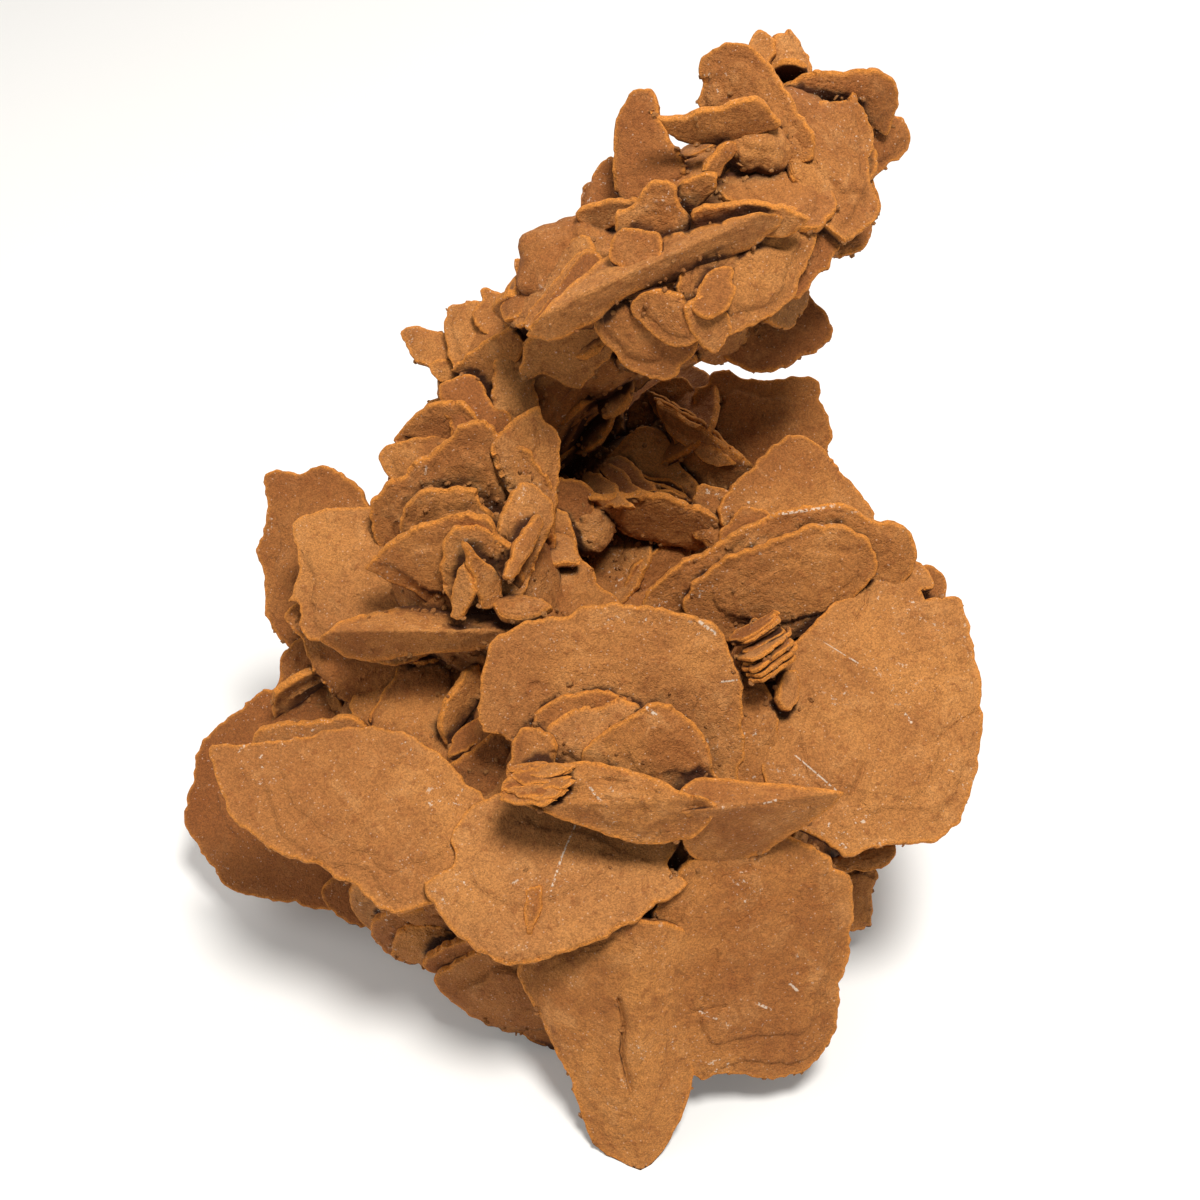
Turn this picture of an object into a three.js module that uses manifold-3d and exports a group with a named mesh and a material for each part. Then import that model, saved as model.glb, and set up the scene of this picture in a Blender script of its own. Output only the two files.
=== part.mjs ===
// Gypsum sand rose: one intergrown cluster of flat, rounded gypsum blades around a sandy heart.
// A wide low rosette in front carries a tall spire that rises at the back and leans to the right.
// Millimetres, +Z up. The rose stands on the flat facet at z = 0, with the origin on that facet.
import * as THREE from "three";
import { mergeVertices } from "three/addons/utils/BufferGeometryUtils.js";
import Module from "manifold-3d";

// Driving dimensions.
const ROSE_WIDTH = 205; // real width between the leftmost and the rightmost blade
const EYE_DISTANCE = 450; // from the eye to the point that it looks at
const EYE_ELEVATION = THREE.MathUtils.degToRad(40); // how steeply the eye looks down
const LOOKED_AT = new THREE.Vector3(0, 0, 90); // the middle of the view, in the rose's own frame
const SHARPEST_CORNER = 0.5; // how far a sharp corner may draw its front face back
const RIM_BEVEL = 1.1; // how far a blade's front face stops short of its back face
const FLOOR_CUT = 0; // everything below this height is ground off flat
const SAME_POINT = 1e-4; // corners nearer to each other than this are one corner
const SMALLEST_KEPT = 0.8; // slivers below this size are merged away after the joining

// The view that the outlines are seen in, in points of a square picture.
const PICTURE_MIDDLE = 600;
const LEFTMOST_POINT = 186;
const RIGHTMOST_POINT = 979;
const MM_PER_POINT = ROSE_WIDTH / (RIGHTMOST_POINT - LEFTMOST_POINT);

// The view's own directions: to the right, up in the picture, and towards the eye.
const RIGHT = new THREE.Vector3(1, 0, 0);
const UPWARD = new THREE.Vector3(0, Math.sin(EYE_ELEVATION), Math.cos(EYE_ELEVATION));
const TOWARD = new THREE.Vector3(0, -Math.cos(EYE_ELEVATION), Math.sin(EYE_ELEVATION));
const EYE = LOOKED_AT.clone().addScaledVector(TOWARD, EYE_DISTANCE);

// Each blade below has a rim outline in picture points, where its sight lines meet the blade's plane.
// near: how far the plane stands towards the eye, in mm, at the outline's middle or at its hinge point.
// facing: the plane's normal as parts to the right, up and towards the eye. thick: in mm.

// The spire's tip and right side.
const SPIRE_TOP = {
  crown: { near: 30, facing: [-0.35, -0.2, 0.9], thick: 3.4, rim: [
    [694, 103], [700, 89], [698, 70], [708, 53], [738, 41], [764, 59],
    [781, 82], [807, 120], [818, 137], [812, 162], [770, 158], [716, 125]] },
  crownShelf: { near: 40, facing: [0, -0.7, 0.7], thick: 2.6, rim: [
    [649, 110], [666, 113], [704, 106], [747, 100], [776, 106], [785, 126], [735, 140], [678, 142], [662, 128]] },
  backTipRight: { near: 10, facing: [0.3, 0.1, 0.95], thick: 3, rim: [
    [771, 38], [788, 30], [800, 46], [812, 72], [805, 105], [780, 100], [768, 70]] },
  darkShelf: { near: 18, facing: [0.1, -0.6, 0.8], thick: 4, rim: [
    [778, 90], [800, 74], [841, 71], [872, 66], [900, 86], [898, 116], [886, 134], [862, 122], [838, 104], [795, 112]] },
  rightCorner: { near: 8, facing: [0.4, -0.2, 0.9], thick: 4, rim: [
    [892, 108], [908, 133], [902, 157], [879, 173], [850, 175], [840, 130]] },
  paleRightFace: { near: 26, facing: [0.35, 0.25, 0.9], thick: 4, rim: [
    [798, 108], [843, 101], [851, 90], [860, 110], [873, 137], [866, 173], [879, 216], [865, 232],
    [841, 246], [808, 215], [785, 160]] },
  rightFlank: { near: 14, facing: [0.3, 0.1, 0.95], thick: 4, rim: [
    [866, 166], [880, 195], [872, 230], [860, 251], [834, 261], [805, 245], [820, 185]] },
  saddleFace: { near: 32, facing: [0.1, 0.5, 0.85], thick: 4, rim: [
    [714, 188], [738, 163], [764, 161], [804, 172], [838, 205], [815, 232], [750, 222]] },
  standingSliver: { near: 38, facing: [0.5, -0.3, 0.8], thick: 2.2, rim: [
    [697, 173], [727, 141], [739, 145], [716, 178]] },
};

// The spire's middle, with the thick spindle blade and the little rosette below it.
const SPIRE_MIDDLE = {
  paleLeaf: { near: 26, facing: [-0.3, 0, 0.95], thick: 2.6, rim: [
    [641, 86], [656, 92], [661, 106], [665, 124], [680, 145], [684, 185], [655, 215], [618, 200],
    [611, 157], [616, 125], [628, 94]] },
  leftShoulder: { near: 14, facing: [-0.4, 0.2, 0.9], thick: 4, rim: [
    [609, 157], [589, 180], [577, 209], [558, 247], [575, 270], [640, 255], [662, 205], [642, 165]] },
  litShelf: { near: 24, facing: [-0.2, -0.6, 0.77], thick: 2.4, rim: [
    [574, 213], [584, 206], [608, 200], [642, 198], [655, 216], [596, 231], [580, 227]] },
  rimmedPetal: { near: 41, facing: [-0.1, -0.4, 0.9], thick: 2.6, rim: [
    [613, 216], [618, 206], [639, 192], [658, 180], [675, 187], [680, 204], [692, 218], [676, 252],
    [632, 252], [615, 229]] },
  thinArc: { near: 45, facing: [0, -0.6, 0.8], thick: 2.4, rim: [
    [693, 215], [704, 206], [728, 202], [764, 200], [790, 205], [813, 217], [790, 234], [740, 234], [700, 230]] },
  backDisc: { near: 32, facing: [0.3, -0.1, 0.95], thick: 2.8, rim: [
    [800, 188], [822, 199], [838, 222], [839, 247], [820, 278], [794, 301], [755, 292], [745, 215]] },
  frontDisc: { near: 38, facing: [0.3, -0.1, 0.95], thick: 2.8, rim: [
    [790, 205], [819, 214], [818, 232], [807, 269], [788, 302], [750, 329], [708, 343], [675, 322],
    [685, 255], [740, 212]] },
  spindleTop: { near: 50, hinge: [656, 262], facing: [-0.35, 0.75, 0.55], thick: 3, rim: [
    [525, 337], [560, 317], [608, 283], [656, 262], [704, 242], [747, 230], [788, 217], [758, 212],
    [700, 224], [645, 238], [595, 262], [548, 300]] },
  spindleBottom: { near: 50, hinge: [656, 262], facing: [0.35, -0.75, 0.55], thick: 3, rim: [
    [525, 337], [560, 317], [608, 283], [656, 262], [704, 242], [747, 230], [788, 217], [775, 232],
    [728, 259], [680, 281], [620, 301], [598, 320], [548, 342]] },
  lowerLip: { near: 37, facing: [-0.2, -0.5, 0.85], thick: 2.6, rim: [
    [594, 320], [596, 330], [608, 347], [637, 374], [657, 380], [675, 378], [692, 359], [702, 345],
    [688, 310], [640, 300], [602, 306]] },
  rosetteLeft: { near: 43, facing: [-0.2, -0.4, 0.9], thick: 2.4, rim: [
    [630, 305], [634, 319], [656, 336], [686, 346], [704, 330], [684, 296], [650, 290]] },
  rosetteRight: { near: 44, facing: [0.2, -0.4, 0.9], thick: 2.4, rim: [
    [680, 303], [690, 340], [714, 355], [728, 345], [732, 312], [705, 288]] },
  rightTail: { near: -2, facing: [0.2, -0.1, 0.97], thick: 3, rim: [
    [798, 280], [816, 302], [834, 330], [822, 350], [801, 360], [783, 371], [728, 364], [706, 330], [748, 285]] },
};

// The left shoulder, where the spire grows out of the body.
const LEFT_SHOULDER = {
  upperScale: { near: -2, facing: [-0.2, 0.2, 0.95], thick: 3, rim: [
    [514, 258], [538, 261], [565, 244], [580, 262], [562, 292], [529, 292], [516, 275]] },
  middleScale: { near: -8, facing: [-0.1, 0.2, 0.97], thick: 3, rim: [
    [474, 303], [483, 288], [498, 291], [524, 300], [510, 340], [480, 332]] },
  broadScale: { near: -10, facing: [-0.3, 0.2, 0.93], thick: 3, rim: [
    [450, 306], [470, 302], [508, 303], [516, 330], [495, 366], [456, 372], [445, 335]] },
  farLeftScale: { near: -18, facing: [-0.3, 0.3, 0.9], thick: 3, rim: [
    [400, 334], [410, 327], [438, 332], [456, 338], [470, 362], [424, 368], [406, 346]] },
  farLeftLower: { near: -14, facing: [-0.2, 0, 0.97], thick: 3, rim: [
    [421, 363], [450, 358], [480, 368], [470, 392], [438, 382]] },
  litSpur: { near: -4, facing: [-0.3, -0.5, 0.8], thick: 2.4, rim: [
    [514, 325], [493, 335], [464, 354], [450, 369], [472, 380], [505, 372], [526, 345]] },
  innerFace: { near: -4, facing: [0.1, 0.1, 1], thick: 4, rim: [
    [506, 328], [540, 328], [548, 350], [536, 385], [541, 406], [525, 427], [490, 415], [495, 365]] },
  hollowLip: { near: 8, facing: [0, -0.6, 0.8], thick: 2.6, rim: [
    [526, 338], [520, 364], [522, 386], [541, 374], [575, 390], [602, 366], [616, 342], [590, 320], [548, 322]] },
};

// The thin blades that lie in a stack beside the spindle blade.
const SHOULDER_STACK = { near: 34, nearStep: -8, shiftStep: [-9, -5], count: 2,
  facing: [-0.5, 0.35, 0.8], thick: 2, rim: [
    [607, 240], [596, 238], [556, 282], [520, 326], [524, 342], [566, 318], [612, 276]] };

// The small rosette at the left, with its edge-on sprays.
const LEFT_ROSETTE = {
  backTop: { near: -3, facing: [0, 0.2, 0.98], thick: 3, rim: [
    [437, 394], [438, 384], [450, 377], [478, 378], [493, 402], [513, 417], [512, 445], [450, 440]] },
  backLeft: { near: -5, facing: [-0.3, -0.4, 0.87], thick: 2.6, rim: [
    [456, 396], [435, 399], [404, 422], [390, 440], [412, 452], [452, 450], [478, 422]] },
  farLeft: { near: -7, facing: [-0.2, 0, 0.98], thick: 3, rim: [
    [380, 460], [382, 450], [411, 438], [446, 440], [450, 485], [402, 492], [387, 477]] },
  backPetal: { near: 6, facing: [0, -0.45, 0.9], thick: 3, rim: [
    [370, 507], [390, 479], [411, 460], [452, 434], [457, 424], [483, 419], [500, 432], [526, 446],
    [543, 467], [553, 480], [556, 525], [548, 575], [480, 595], [395, 570]] },
  rightPetal: { near: 9, facing: [0.35, -0.1, 0.93], thick: 2.6, rim: [
    [493, 443], [514, 417], [540, 405], [541, 417], [556, 431], [562, 480], [555, 520], [515, 500]] },
  middlePetal: { near: 12, facing: [0, -0.45, 0.9], thick: 2.6, rim: [
    [398, 530], [411, 498], [440, 488], [478, 489], [482, 500], [508, 522], [505, 580], [415, 580]] },
  frontPetal: { near: 20, facing: [-0.1, -0.55, 0.83], thick: 2.8, rim: [
    [361, 568], [396, 538], [424, 521], [461, 512], [490, 517], [504, 536], [517, 545], [518, 600],
    [490, 612], [430, 604], [398, 583]] },
  frontLayer: { near: 23, facing: [0.1, -0.5, 0.85], thick: 2.2, rim: [
    [438, 570], [450, 530], [480, 523], [502, 542], [506, 600], [450, 604]] },
  rightSpray: { near: 28, facing: [0.6, -0.3, 0.75], thick: 2.4, rim: [
    [461, 537], [482, 556], [503, 578], [500, 606], [480, 608], [468, 572]] },
  leftSpray: { near: 27, facing: [-0.5, -0.3, 0.8], thick: 2.2, rim: [
    [462, 558], [471, 568], [474, 596], [462, 618], [450, 616], [453, 584]] },
  cupPetal: { near: 17, facing: [0.35, 0, 0.93], thick: 2.8, rim: [
    [504, 502], [521, 481], [545, 492], [555, 519], [540, 562], [518, 602], [496, 600], [494, 540]] },
  cupOval: { near: 24, facing: [0.4, 0.2, 0.9], thick: 4.2, rim: [
    [538, 513], [543, 524], [533, 548], [512, 580], [502, 578], [505, 562], [522, 530], [530, 515]] },
  footOval: { near: 24, facing: [0, 0.5, 0.85], thick: 5, rim: [
    [489, 604], [500, 597], [540, 597], [556, 611], [530, 622], [500, 620]] },
};

// The big plates at the left.
const LEFT_PLATES = {
  farPlate: { near: -26, facing: [-0.2, 0, 0.97], thick: 5, rim: [
    [260, 483], [271, 471], [302, 471], [326, 464], [348, 476], [370, 498], [400, 560], [380, 640],
    [300, 654], [266, 622], [264, 582], [258, 545], [267, 524], [264, 505]] },
  mainPlate: { near: -2, facing: [-0.1, 0.15, 0.98], thick: 4, rim: [
    [295, 519], [319, 511], [360, 504], [405, 512], [455, 550], [470, 620], [400, 665], [322, 642],
    [305, 639], [297, 606], [286, 603], [298, 558], [292, 538]] },
  lowerLayer: { near: -8, facing: [-0.1, -0.1, 0.99], thick: 3.4, rim: [
    [284, 613], [300, 644], [319, 675], [328, 690], [346, 703], [380, 700], [430, 670], [400, 610], [325, 590]] },
  ledgeTop: { near: 22, hinge: [420, 630], facing: [0, 0.88, 0.47], thick: 3, rim: [
    [317, 638], [350, 641], [396, 631], [456, 631], [527, 626], [530, 612], [482, 606], [442, 604],
    [396, 607], [350, 617]] },
  ledgeUnderside: { near: 22, hinge: [420, 630], facing: [0, -0.8, 0.6], thick: 2.6, rim: [
    [317, 638], [350, 641], [396, 631], [456, 631], [527, 626], [495, 645], [410, 657], [348, 659]] },
  lowFarPlate: { near: -22, facing: [-0.3, -0.1, 0.95], thick: 3.4, rim: [
    [286, 645], [280, 678], [275, 692], [293, 716], [355, 722], [370, 690], [320, 630]] },
  hollowPlate: { near: -4, facing: [0, 0.1, 1], thick: 4, rim: [
    [412, 650], [475, 649], [492, 665], [480, 700], [450, 720], [444, 745], [405, 750], [368, 722], [384, 688]] },
  hollowLeft: { near: -7, facing: [0, 0.3, 0.95], thick: 3, rim: [
    [346, 705], [374, 678], [403, 664], [420, 700], [385, 740], [350, 722]] },
  darkWedge: { near: 5, facing: [0.6, -0.2, 0.78], thick: 2.6, rim: [
    [482, 656], [484, 682], [466, 722], [446, 752], [439, 732], [443, 709], [456, 683], [468, 666]] },
  thinStep: { near: 0, facing: [-0.1, -0.4, 0.9], thick: 2.6, rim: [
    [252, 733], [271, 723], [300, 722], [353, 715], [372, 730], [310, 748], [256, 748]] },
};

// The lower left, down to the blades that stand close to the ground.
const LOWER_LEFT = {
  bigPlate: { near: 26, facing: [-0.1, 0.35, 0.93], thick: 4, rim: [
    [211, 748], [236, 743], [292, 738], [337, 727], [382, 724], [424, 744], [465, 780], [510, 830],
    [500, 890], [430, 908], [393, 912], [320, 871], [233, 824], [222, 797], [212, 764]] },
  darkPlate: { near: -25, facing: [-0.3, 0, 0.95], thick: 5, rim: [
    [275, 684], [236, 713], [202, 744], [194, 778], [184, 808], [188, 825], [207, 859], [222, 884],
    [270, 899], [331, 909], [390, 880], [400, 760], [340, 690]] },
  darkPlateTip: { near: -16, facing: [-0.2, -0.1, 0.97], thick: 3, rim: [
    [322, 898], [348, 920], [364, 929], [395, 905], [375, 870], [330, 876]] },
  upperRim: { near: -2, facing: [-0.2, -0.75, 0.6], thick: 2.6, rim: [
    [348, 890], [359, 915], [372, 928], [400, 927], [450, 908], [410, 880], [365, 870]] },
  middleRim: { near: 4, facing: [-0.2, -0.7, 0.65], thick: 2.6, rim: [
    [372, 929], [393, 954], [449, 967], [485, 960], [510, 935], [440, 900], [390, 905]] },
  innerRim: { near: 12, facing: [-0.1, -0.7, 0.7], thick: 2.4, rim: [
    [398, 912], [426, 930], [453, 934], [490, 922], [450, 893]] },
  frontRim: { near: 12, facing: [-0.1, -0.7, 0.7], thick: 2.6, rim: [
    [421, 961], [438, 972], [477, 980], [516, 972], [534, 995], [556, 975], [510, 935], [450, 940]] },
  lowDisc: { near: 5, facing: [-0.1, -0.6, 0.8], thick: 4, rim: [
    [389, 953], [412, 963], [440, 970], [475, 965], [480, 930], [410, 920]] },
  groundDisc: { near: 8, facing: [-0.1, -0.6, 0.8], thick: 5, rim: [
    [436, 971], [440, 986], [460, 1008], [488, 1025], [530, 1040], [558, 1050], [600, 1030],
    [575, 965], [490, 945]] },
};

// The front plates and the folded spear that points at the viewer.
const FRONT = {
  centrePlate: { near: 37, facing: [0.02, 0.3, 0.95], thick: 4, rim: [
    [478, 802], [450, 835], [452, 860], [420, 882], [433, 910], [487, 960], [523, 967], [577, 950],
    [630, 930], [670, 900], [690, 882], [670, 863], [680, 842], [640, 825], [567, 810], [520, 790]] },
  spearLeft: { near: 31, hinge: [642, 1060], facing: [-0.35, -0.2, 0.9], thick: 5, rim: [
    [517, 972], [533, 1007], [563, 1067], [580, 1113], [597, 1150], [618, 1158], [640, 1173],
    [650, 1100], [650, 930], [600, 915], [540, 935]] },
  spearRight: { near: 31, hinge: [642, 1060], facing: [0.5, -0.2, 0.85], thick: 5, rim: [
    [640, 1173], [657, 1157], [680, 1120], [693, 1077], [704, 1020], [690, 930], [639, 930], [638, 1100]] },
  rightPlate: { near: 27, facing: [0.15, -0.25, 0.95], thick: 5, rim: [
    [797, 837], [820, 847], [837, 860], [850, 880], [853, 947], [840, 987], [833, 1033], [803, 1073],
    [733, 1075], [640, 1078], [632, 1040], [640, 960], [655, 900], [700, 850], [760, 825]] },
  farRightTab: { near: -14, facing: [0.3, -0.2, 0.93], thick: 4, rim: [
    [873, 865], [875, 893], [872, 927], [857, 934], [825, 925], [820, 862]] },
  spurTop: { near: 52, hinge: [748, 806], facing: [-0.1, 0.8, 0.6], thick: 3, rim: [
    [847, 792], [796, 786], [720, 780], [682, 783], [676, 810], [700, 812], [748, 807], [804, 799]] },
  spurBottom: { near: 52, hinge: [748, 806], facing: [0.1, -0.75, 0.65], thick: 3, rim: [
    [847, 792], [832, 809], [798, 832], [748, 860], [718, 869], [698, 864], [680, 842], [690, 814],
    [748, 807], [804, 799]] },
  roughBackTop: { near: 53, hinge: [600, 805], facing: [-0.1, 0.6, 0.8], thick: 4, rim: [
    [496, 795], [513, 773], [549, 768], [572, 762], [608, 763], [640, 771], [692, 791], [720, 806],
    [690, 816], [640, 812], [560, 803]] },
  roughBackBottom: { near: 53, hinge: [600, 805], facing: [0, -0.6, 0.8], thick: 4, rim: [
    [496, 795], [560, 803], [640, 812], [718, 806], [688, 843], [653, 846], [600, 834], [524, 806]] },
};

// The upright petal in the middle, with the small discs at its foot.
const MIDDLE = {
  greatPetal: { near: 32, facing: [0, -0.1, 1], thick: 4, rim: [
    [481, 666], [490, 641], [521, 624], [560, 612], [619, 603], [670, 609], [716, 624], [737, 664],
    [745, 689], [744, 720], [738, 795], [640, 835], [555, 812], [502, 736], [482, 731], [480, 694]] },
  sidePetal: { near: 27, facing: [0.15, 0, 0.99], thick: 4, rim: [
    [742, 670], [773, 694], [782, 728], [793, 760], [794, 795], [760, 815], [705, 800], [700, 690]] },
  footDiscLeft: { near: 35, facing: [0, -0.1, 1], thick: 4, rim: [
    [528, 742], [529, 722], [541, 708], [563, 692], [608, 689], [628, 702], [625, 770], [555, 785]] },
  footDiscMiddle: { near: 38, facing: [0.05, -0.1, 1], thick: 4, rim: [
    [543, 740], [555, 720], [591, 703], [636, 701], [648, 720], [645, 780], [565, 785]] },
  footDiscRight: { near: 40, facing: [0, -0.15, 0.98], thick: 4, rim: [
    [580, 768], [583, 750], [605, 728], [633, 712], [664, 701], [681, 708], [709, 745], [716, 785], [650, 805]] },
};

// The two great discs at the right and the crumbly knot between them.
const RIGHT_ROSETTE = {
  upperDisc: { near: 12, facing: [0, -0.35, 0.93], thick: 4, rim: [
    [640, 600], [655, 581], [680, 560], [723, 538], [763, 517], [803, 504], [842, 504], [873, 518],
    [895, 520], [918, 541], [919, 562], [880, 610], [840, 640], [790, 665], [720, 665], [672, 635]] },
  upperDiscLayer: { near: 15, facing: [0, -0.35, 0.93], thick: 3, rim: [
    [683, 609], [683, 594], [692, 581], [723, 560], [790, 530], [850, 525], [880, 560], [835, 615],
    [760, 650], [715, 640]] },
  greatDisc: { near: 20, facing: [0.3, 0.25, 0.92], thick: 5, rim: [
    [904, 557], [931, 568], [932, 590], [922, 596], [957, 601], [969, 630], [978, 670], [980, 750],
    [965, 820], [947, 836], [879, 850], [845, 860], [821, 839], [780, 822], [755, 740], [775, 665],
    [807, 626], [836, 601], [867, 583]] },
  rimTab: { near: 6, facing: [0.3, 0.1, 0.95], thick: 3, rim: [
    [926, 566], [944, 578], [949, 606], [915, 615], [900, 585]] },
  lowTab: { near: 2, facing: [0, 0, 1], thick: 4, rim: [
    [846, 852], [896, 843], [894, 858], [870, 869], [845, 872], [825, 860]] },
};

// The smaller blades at the back right, behind the dark hollow.
const BACK_RIGHT = {
  topDisc: { near: -38, facing: [0.15, -0.1, 0.98], thick: 4, rim: [
    [694, 388], [710, 372], [736, 371], [762, 378], [796, 374], [820, 383], [827, 414], [832, 431],
    [827, 465], [800, 500], [735, 490], [698, 430]] },
  topLeftDisc: { near: -40, facing: [-0.1, 0, 1], thick: 3.6, rim: [
    [626, 438], [638, 395], [659, 380], [681, 377], [697, 390], [704, 430], [690, 478], [640, 470]] },
  layeredSpur: { near: -26, facing: [-0.4, -0.5, 0.77], thick: 3, rim: [
    [650, 394], [681, 411], [724, 442], [754, 464], [750, 490], [700, 492], [671, 440]] },
  leftFan: { near: -30, facing: [-0.1, 0.1, 1], thick: 3.4, rim: [
    [604, 464], [614, 448], [640, 426], [662, 428], [680, 455], [706, 485], [700, 520], [650, 520], [612, 495]] },
  underlitRim: { near: -14, facing: [0, -0.7, 0.7], thick: 2.8, rim: [
    [583, 497], [647, 495], [693, 505], [726, 523], [705, 547], [659, 547], [621, 534], [595, 512]] },
  warmDisc: { near: -18, facing: [0.2, 0.1, 0.97], thick: 4, rim: [
    [751, 464], [772, 444], [801, 435], [820, 450], [844, 474], [873, 513], [860, 560], [760, 560],
    [715, 510], [735, 478]] },
  warmStep: { near: -16, facing: [0, 0, 1], thick: 3, rim: [
    [688, 502], [700, 484], [729, 490], [752, 515], [740, 555], [695, 540]] },
  hollowDisc: { near: -26, facing: [-0.2, 0, 0.98], thick: 3, rim: [
    [592, 540], [602, 530], [630, 542], [655, 560], [645, 600], [605, 612], [588, 570]] },
  ribbedFace: { near: -4, facing: [0.2, 0.2, 0.96], thick: 4, rim: [
    [536, 560], [581, 559], [600, 584], [620, 602], [610, 640], [545, 640], [525, 595]] },
};

const SEEN_BLADES = [SPIRE_TOP, SPIRE_MIDDLE, LEFT_SHOULDER, LEFT_ROSETTE, LEFT_PLATES, LOWER_LEFT,
  FRONT, MIDDLE, RIGHT_ROSETTE, BACK_RIGHT];

// How far a mass's corners stand out past its lumps, so that its flat faces lie about on them.
const MASS_FULLNESS = 1.07;

// The sandy heart that the blades grow from: two masses, each the envelope of its lumps.
// middle and half sizes are in mm, in the rose's own frame.
const BODY_HEART = { middle: [0, -4, 44], detail: 2, lumps: {
  front: { middle: [0, -26, 42], half: [52, 44, 40] },
  underPlates: { middle: [14, -52, 36], half: [38, 30, 30] },
  back: { middle: [12, 22, 44], half: [42, 30, 36] },
  foot: { middle: [-2, -8, 12], half: [42, 40, 21] },
  lowRight: { middle: [42, -20, 28], half: [30, 28, 22] },
  left: { middle: [-46, -4, 46], half: [30, 34, 28] },
  right: { middle: [50, -14, 58], half: [31, 33, 33] },
  shoulder: { middle: [-32, 28, 86], half: [26, 26, 32] },
  rosette: { middle: [-34, 6, 92], half: [24, 22, 24] },
  ridge: { middle: [14, 58, 82], half: [28, 17, 25] },
} };
const SPIRE_HEART = { middle: [10, 50, 152], detail: 1, lumps: {
  neck: { middle: [-22, 54, 118], half: [20, 18, 26] },
  waist: { middle: [-2, 52, 140], half: [20, 18, 19] },
  middle: { middle: [16, 44, 158], half: [23, 21, 19] },
  behindStack: { middle: [-6, 44, 160], half: [17, 16, 16] },
  upper: { middle: [30, 46, 175], half: [21, 19, 17] },
  tip: { middle: [47, 62, 188], half: [16, 15, 17] },
} };

// Sand that shows between the blades, as picture points with a depth.
const SAND_KNOTS = {
  crownKnot: { at: [757, 146], near: 33, half: [8, 6, 6] },
  crownKnotRight: { at: [796, 156], near: 28, half: [5, 5, 6] },
  discKnot: { at: [764, 650], near: 20, half: [8, 8, 7] },
  innerSand: { at: [590, 528], near: -16, half: [7, 7, 7] },
};

// The whole outline of the rose in the picture. No blade on its far side may show outside it.
const WHOLE_OUTLINE = [
  [642, 86], [665, 112], [694, 103], [698, 66], [716, 44], [748, 44], [762, 29], [795, 34], [812, 70],
  [872, 66], [902, 88], [908, 135], [880, 175], [882, 205], [860, 252], [838, 262], [815, 292], [834, 330],
  [801, 360], [775, 374], [820, 383], [833, 432], [829, 458], [872, 514], [915, 532], [944, 576], [958, 602],
  [980, 700], [978, 760], [965, 820], [895, 850], [874, 870], [874, 925], [852, 936], [850, 960], [833, 1035],
  [803, 1073], [693, 1078], [657, 1157], [640, 1173], [600, 1152], [560, 1060], [550, 1048], [485, 1024],
  [440, 985], [393, 955], [330, 909], [225, 885], [186, 812], [204, 742], [275, 684], [284, 640], [262, 605],
  [262, 482], [325, 464], [372, 490], [382, 450], [437, 386], [424, 366], [401, 334], [412, 327], [446, 334],
  [452, 303], [514, 290], [516, 258], [565, 244], [577, 208], [610, 156], [615, 120]];

// The blades of the sides, back and underside, which follow a rule.
const HIDDEN_SEED = 20;
const GOLDEN_ANGLE = Math.PI * (3 - Math.sqrt(5));
const HIDDEN_PER_LUMP = 6;
const HIDDEN_RIM_POINTS = 7;
const HIDDEN_THICK = 3.6;
const HIDDEN_LEAN = [0.45, 1.1]; // how far a blade leans out from its lump's surface, in radians
const HIDDEN_REACH = [0.8, 1.2]; // a blade's radius as a share of its lump's mean half size
const HIDDEN_DEPTH = 0.92; // where a blade's middle lies between its lump's middle and surface
const BURIED = 0.88; // a blade whose middle lies inside another lump is left out
const LOWEST_MIDDLE = 4;
const HIDDEN_RAGGED = 0.12; // how unevenly a rim wanders
const NARROWEST_OVAL = 0.75; // a blade's width as a share of its length
const FAR_SIDE = 0.12; // a blade is hidden while it faces the eye by less than this
const SHRINK_STEP = 0.85;
const SLANT = new THREE.Vector3(0.3, 0.5, 0.8); // no blade faces just this way, so it can turn their rims
const SMALLEST_SHARE = 0.4;

// Numbers between 0 and 1 that come out the same each time.
function seededNumbers(seed) {
  let state = seed;
  return () => {
    state = (state * 1664525 + 1013904223) % 4294967296;
    return state / 4294967296;
  };
}

// The point where the sight line through a picture point meets a plane.
function onSightLine([across, down], plane) {
  const onPicture = LOOKED_AT.clone()
    .addScaledVector(RIGHT, (across - PICTURE_MIDDLE) * MM_PER_POINT)
    .addScaledVector(UPWARD, (PICTURE_MIDDLE - down) * MM_PER_POINT);
  const sightLine = new THREE.Ray(EYE, onPicture.sub(EYE).normalize());
  return sightLine.intersectPlane(plane, new THREE.Vector3());
}

// The point that a picture point shows at a given nearness.
function seenAt(picturePoint, near) {
  const level = LOOKED_AT.clone().addScaledVector(TOWARD, near);
  return onSightLine(picturePoint, new THREE.Plane().setFromNormalAndCoplanarPoint(TOWARD, level));
}

// The picture point at which a point of the rose is seen.
function pictureOf(point) {
  const fromEye = point.clone().sub(EYE);
  const scale = EYE_DISTANCE / -fromEye.dot(TOWARD) / MM_PER_POINT;
  return [PICTURE_MIDDLE + fromEye.dot(RIGHT) * scale, PICTURE_MIDDLE - fromEye.dot(UPWARD) * scale];
}

// Whether a picture point lies inside the rose's whole outline.
function insideOutline([across, down]) {
  let inside = false;
  WHOLE_OUTLINE.forEach(([x, y], index) => {
    const [nextX, nextY] = WHOLE_OUTLINE[(index + 1) % WHOLE_OUTLINE.length];
    const crosses = y > down !== nextY > down;
    if (crosses && across < x + ((down - y) * (nextX - x)) / (nextY - y)) inside = !inside;
  });
  return inside;
}

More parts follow.
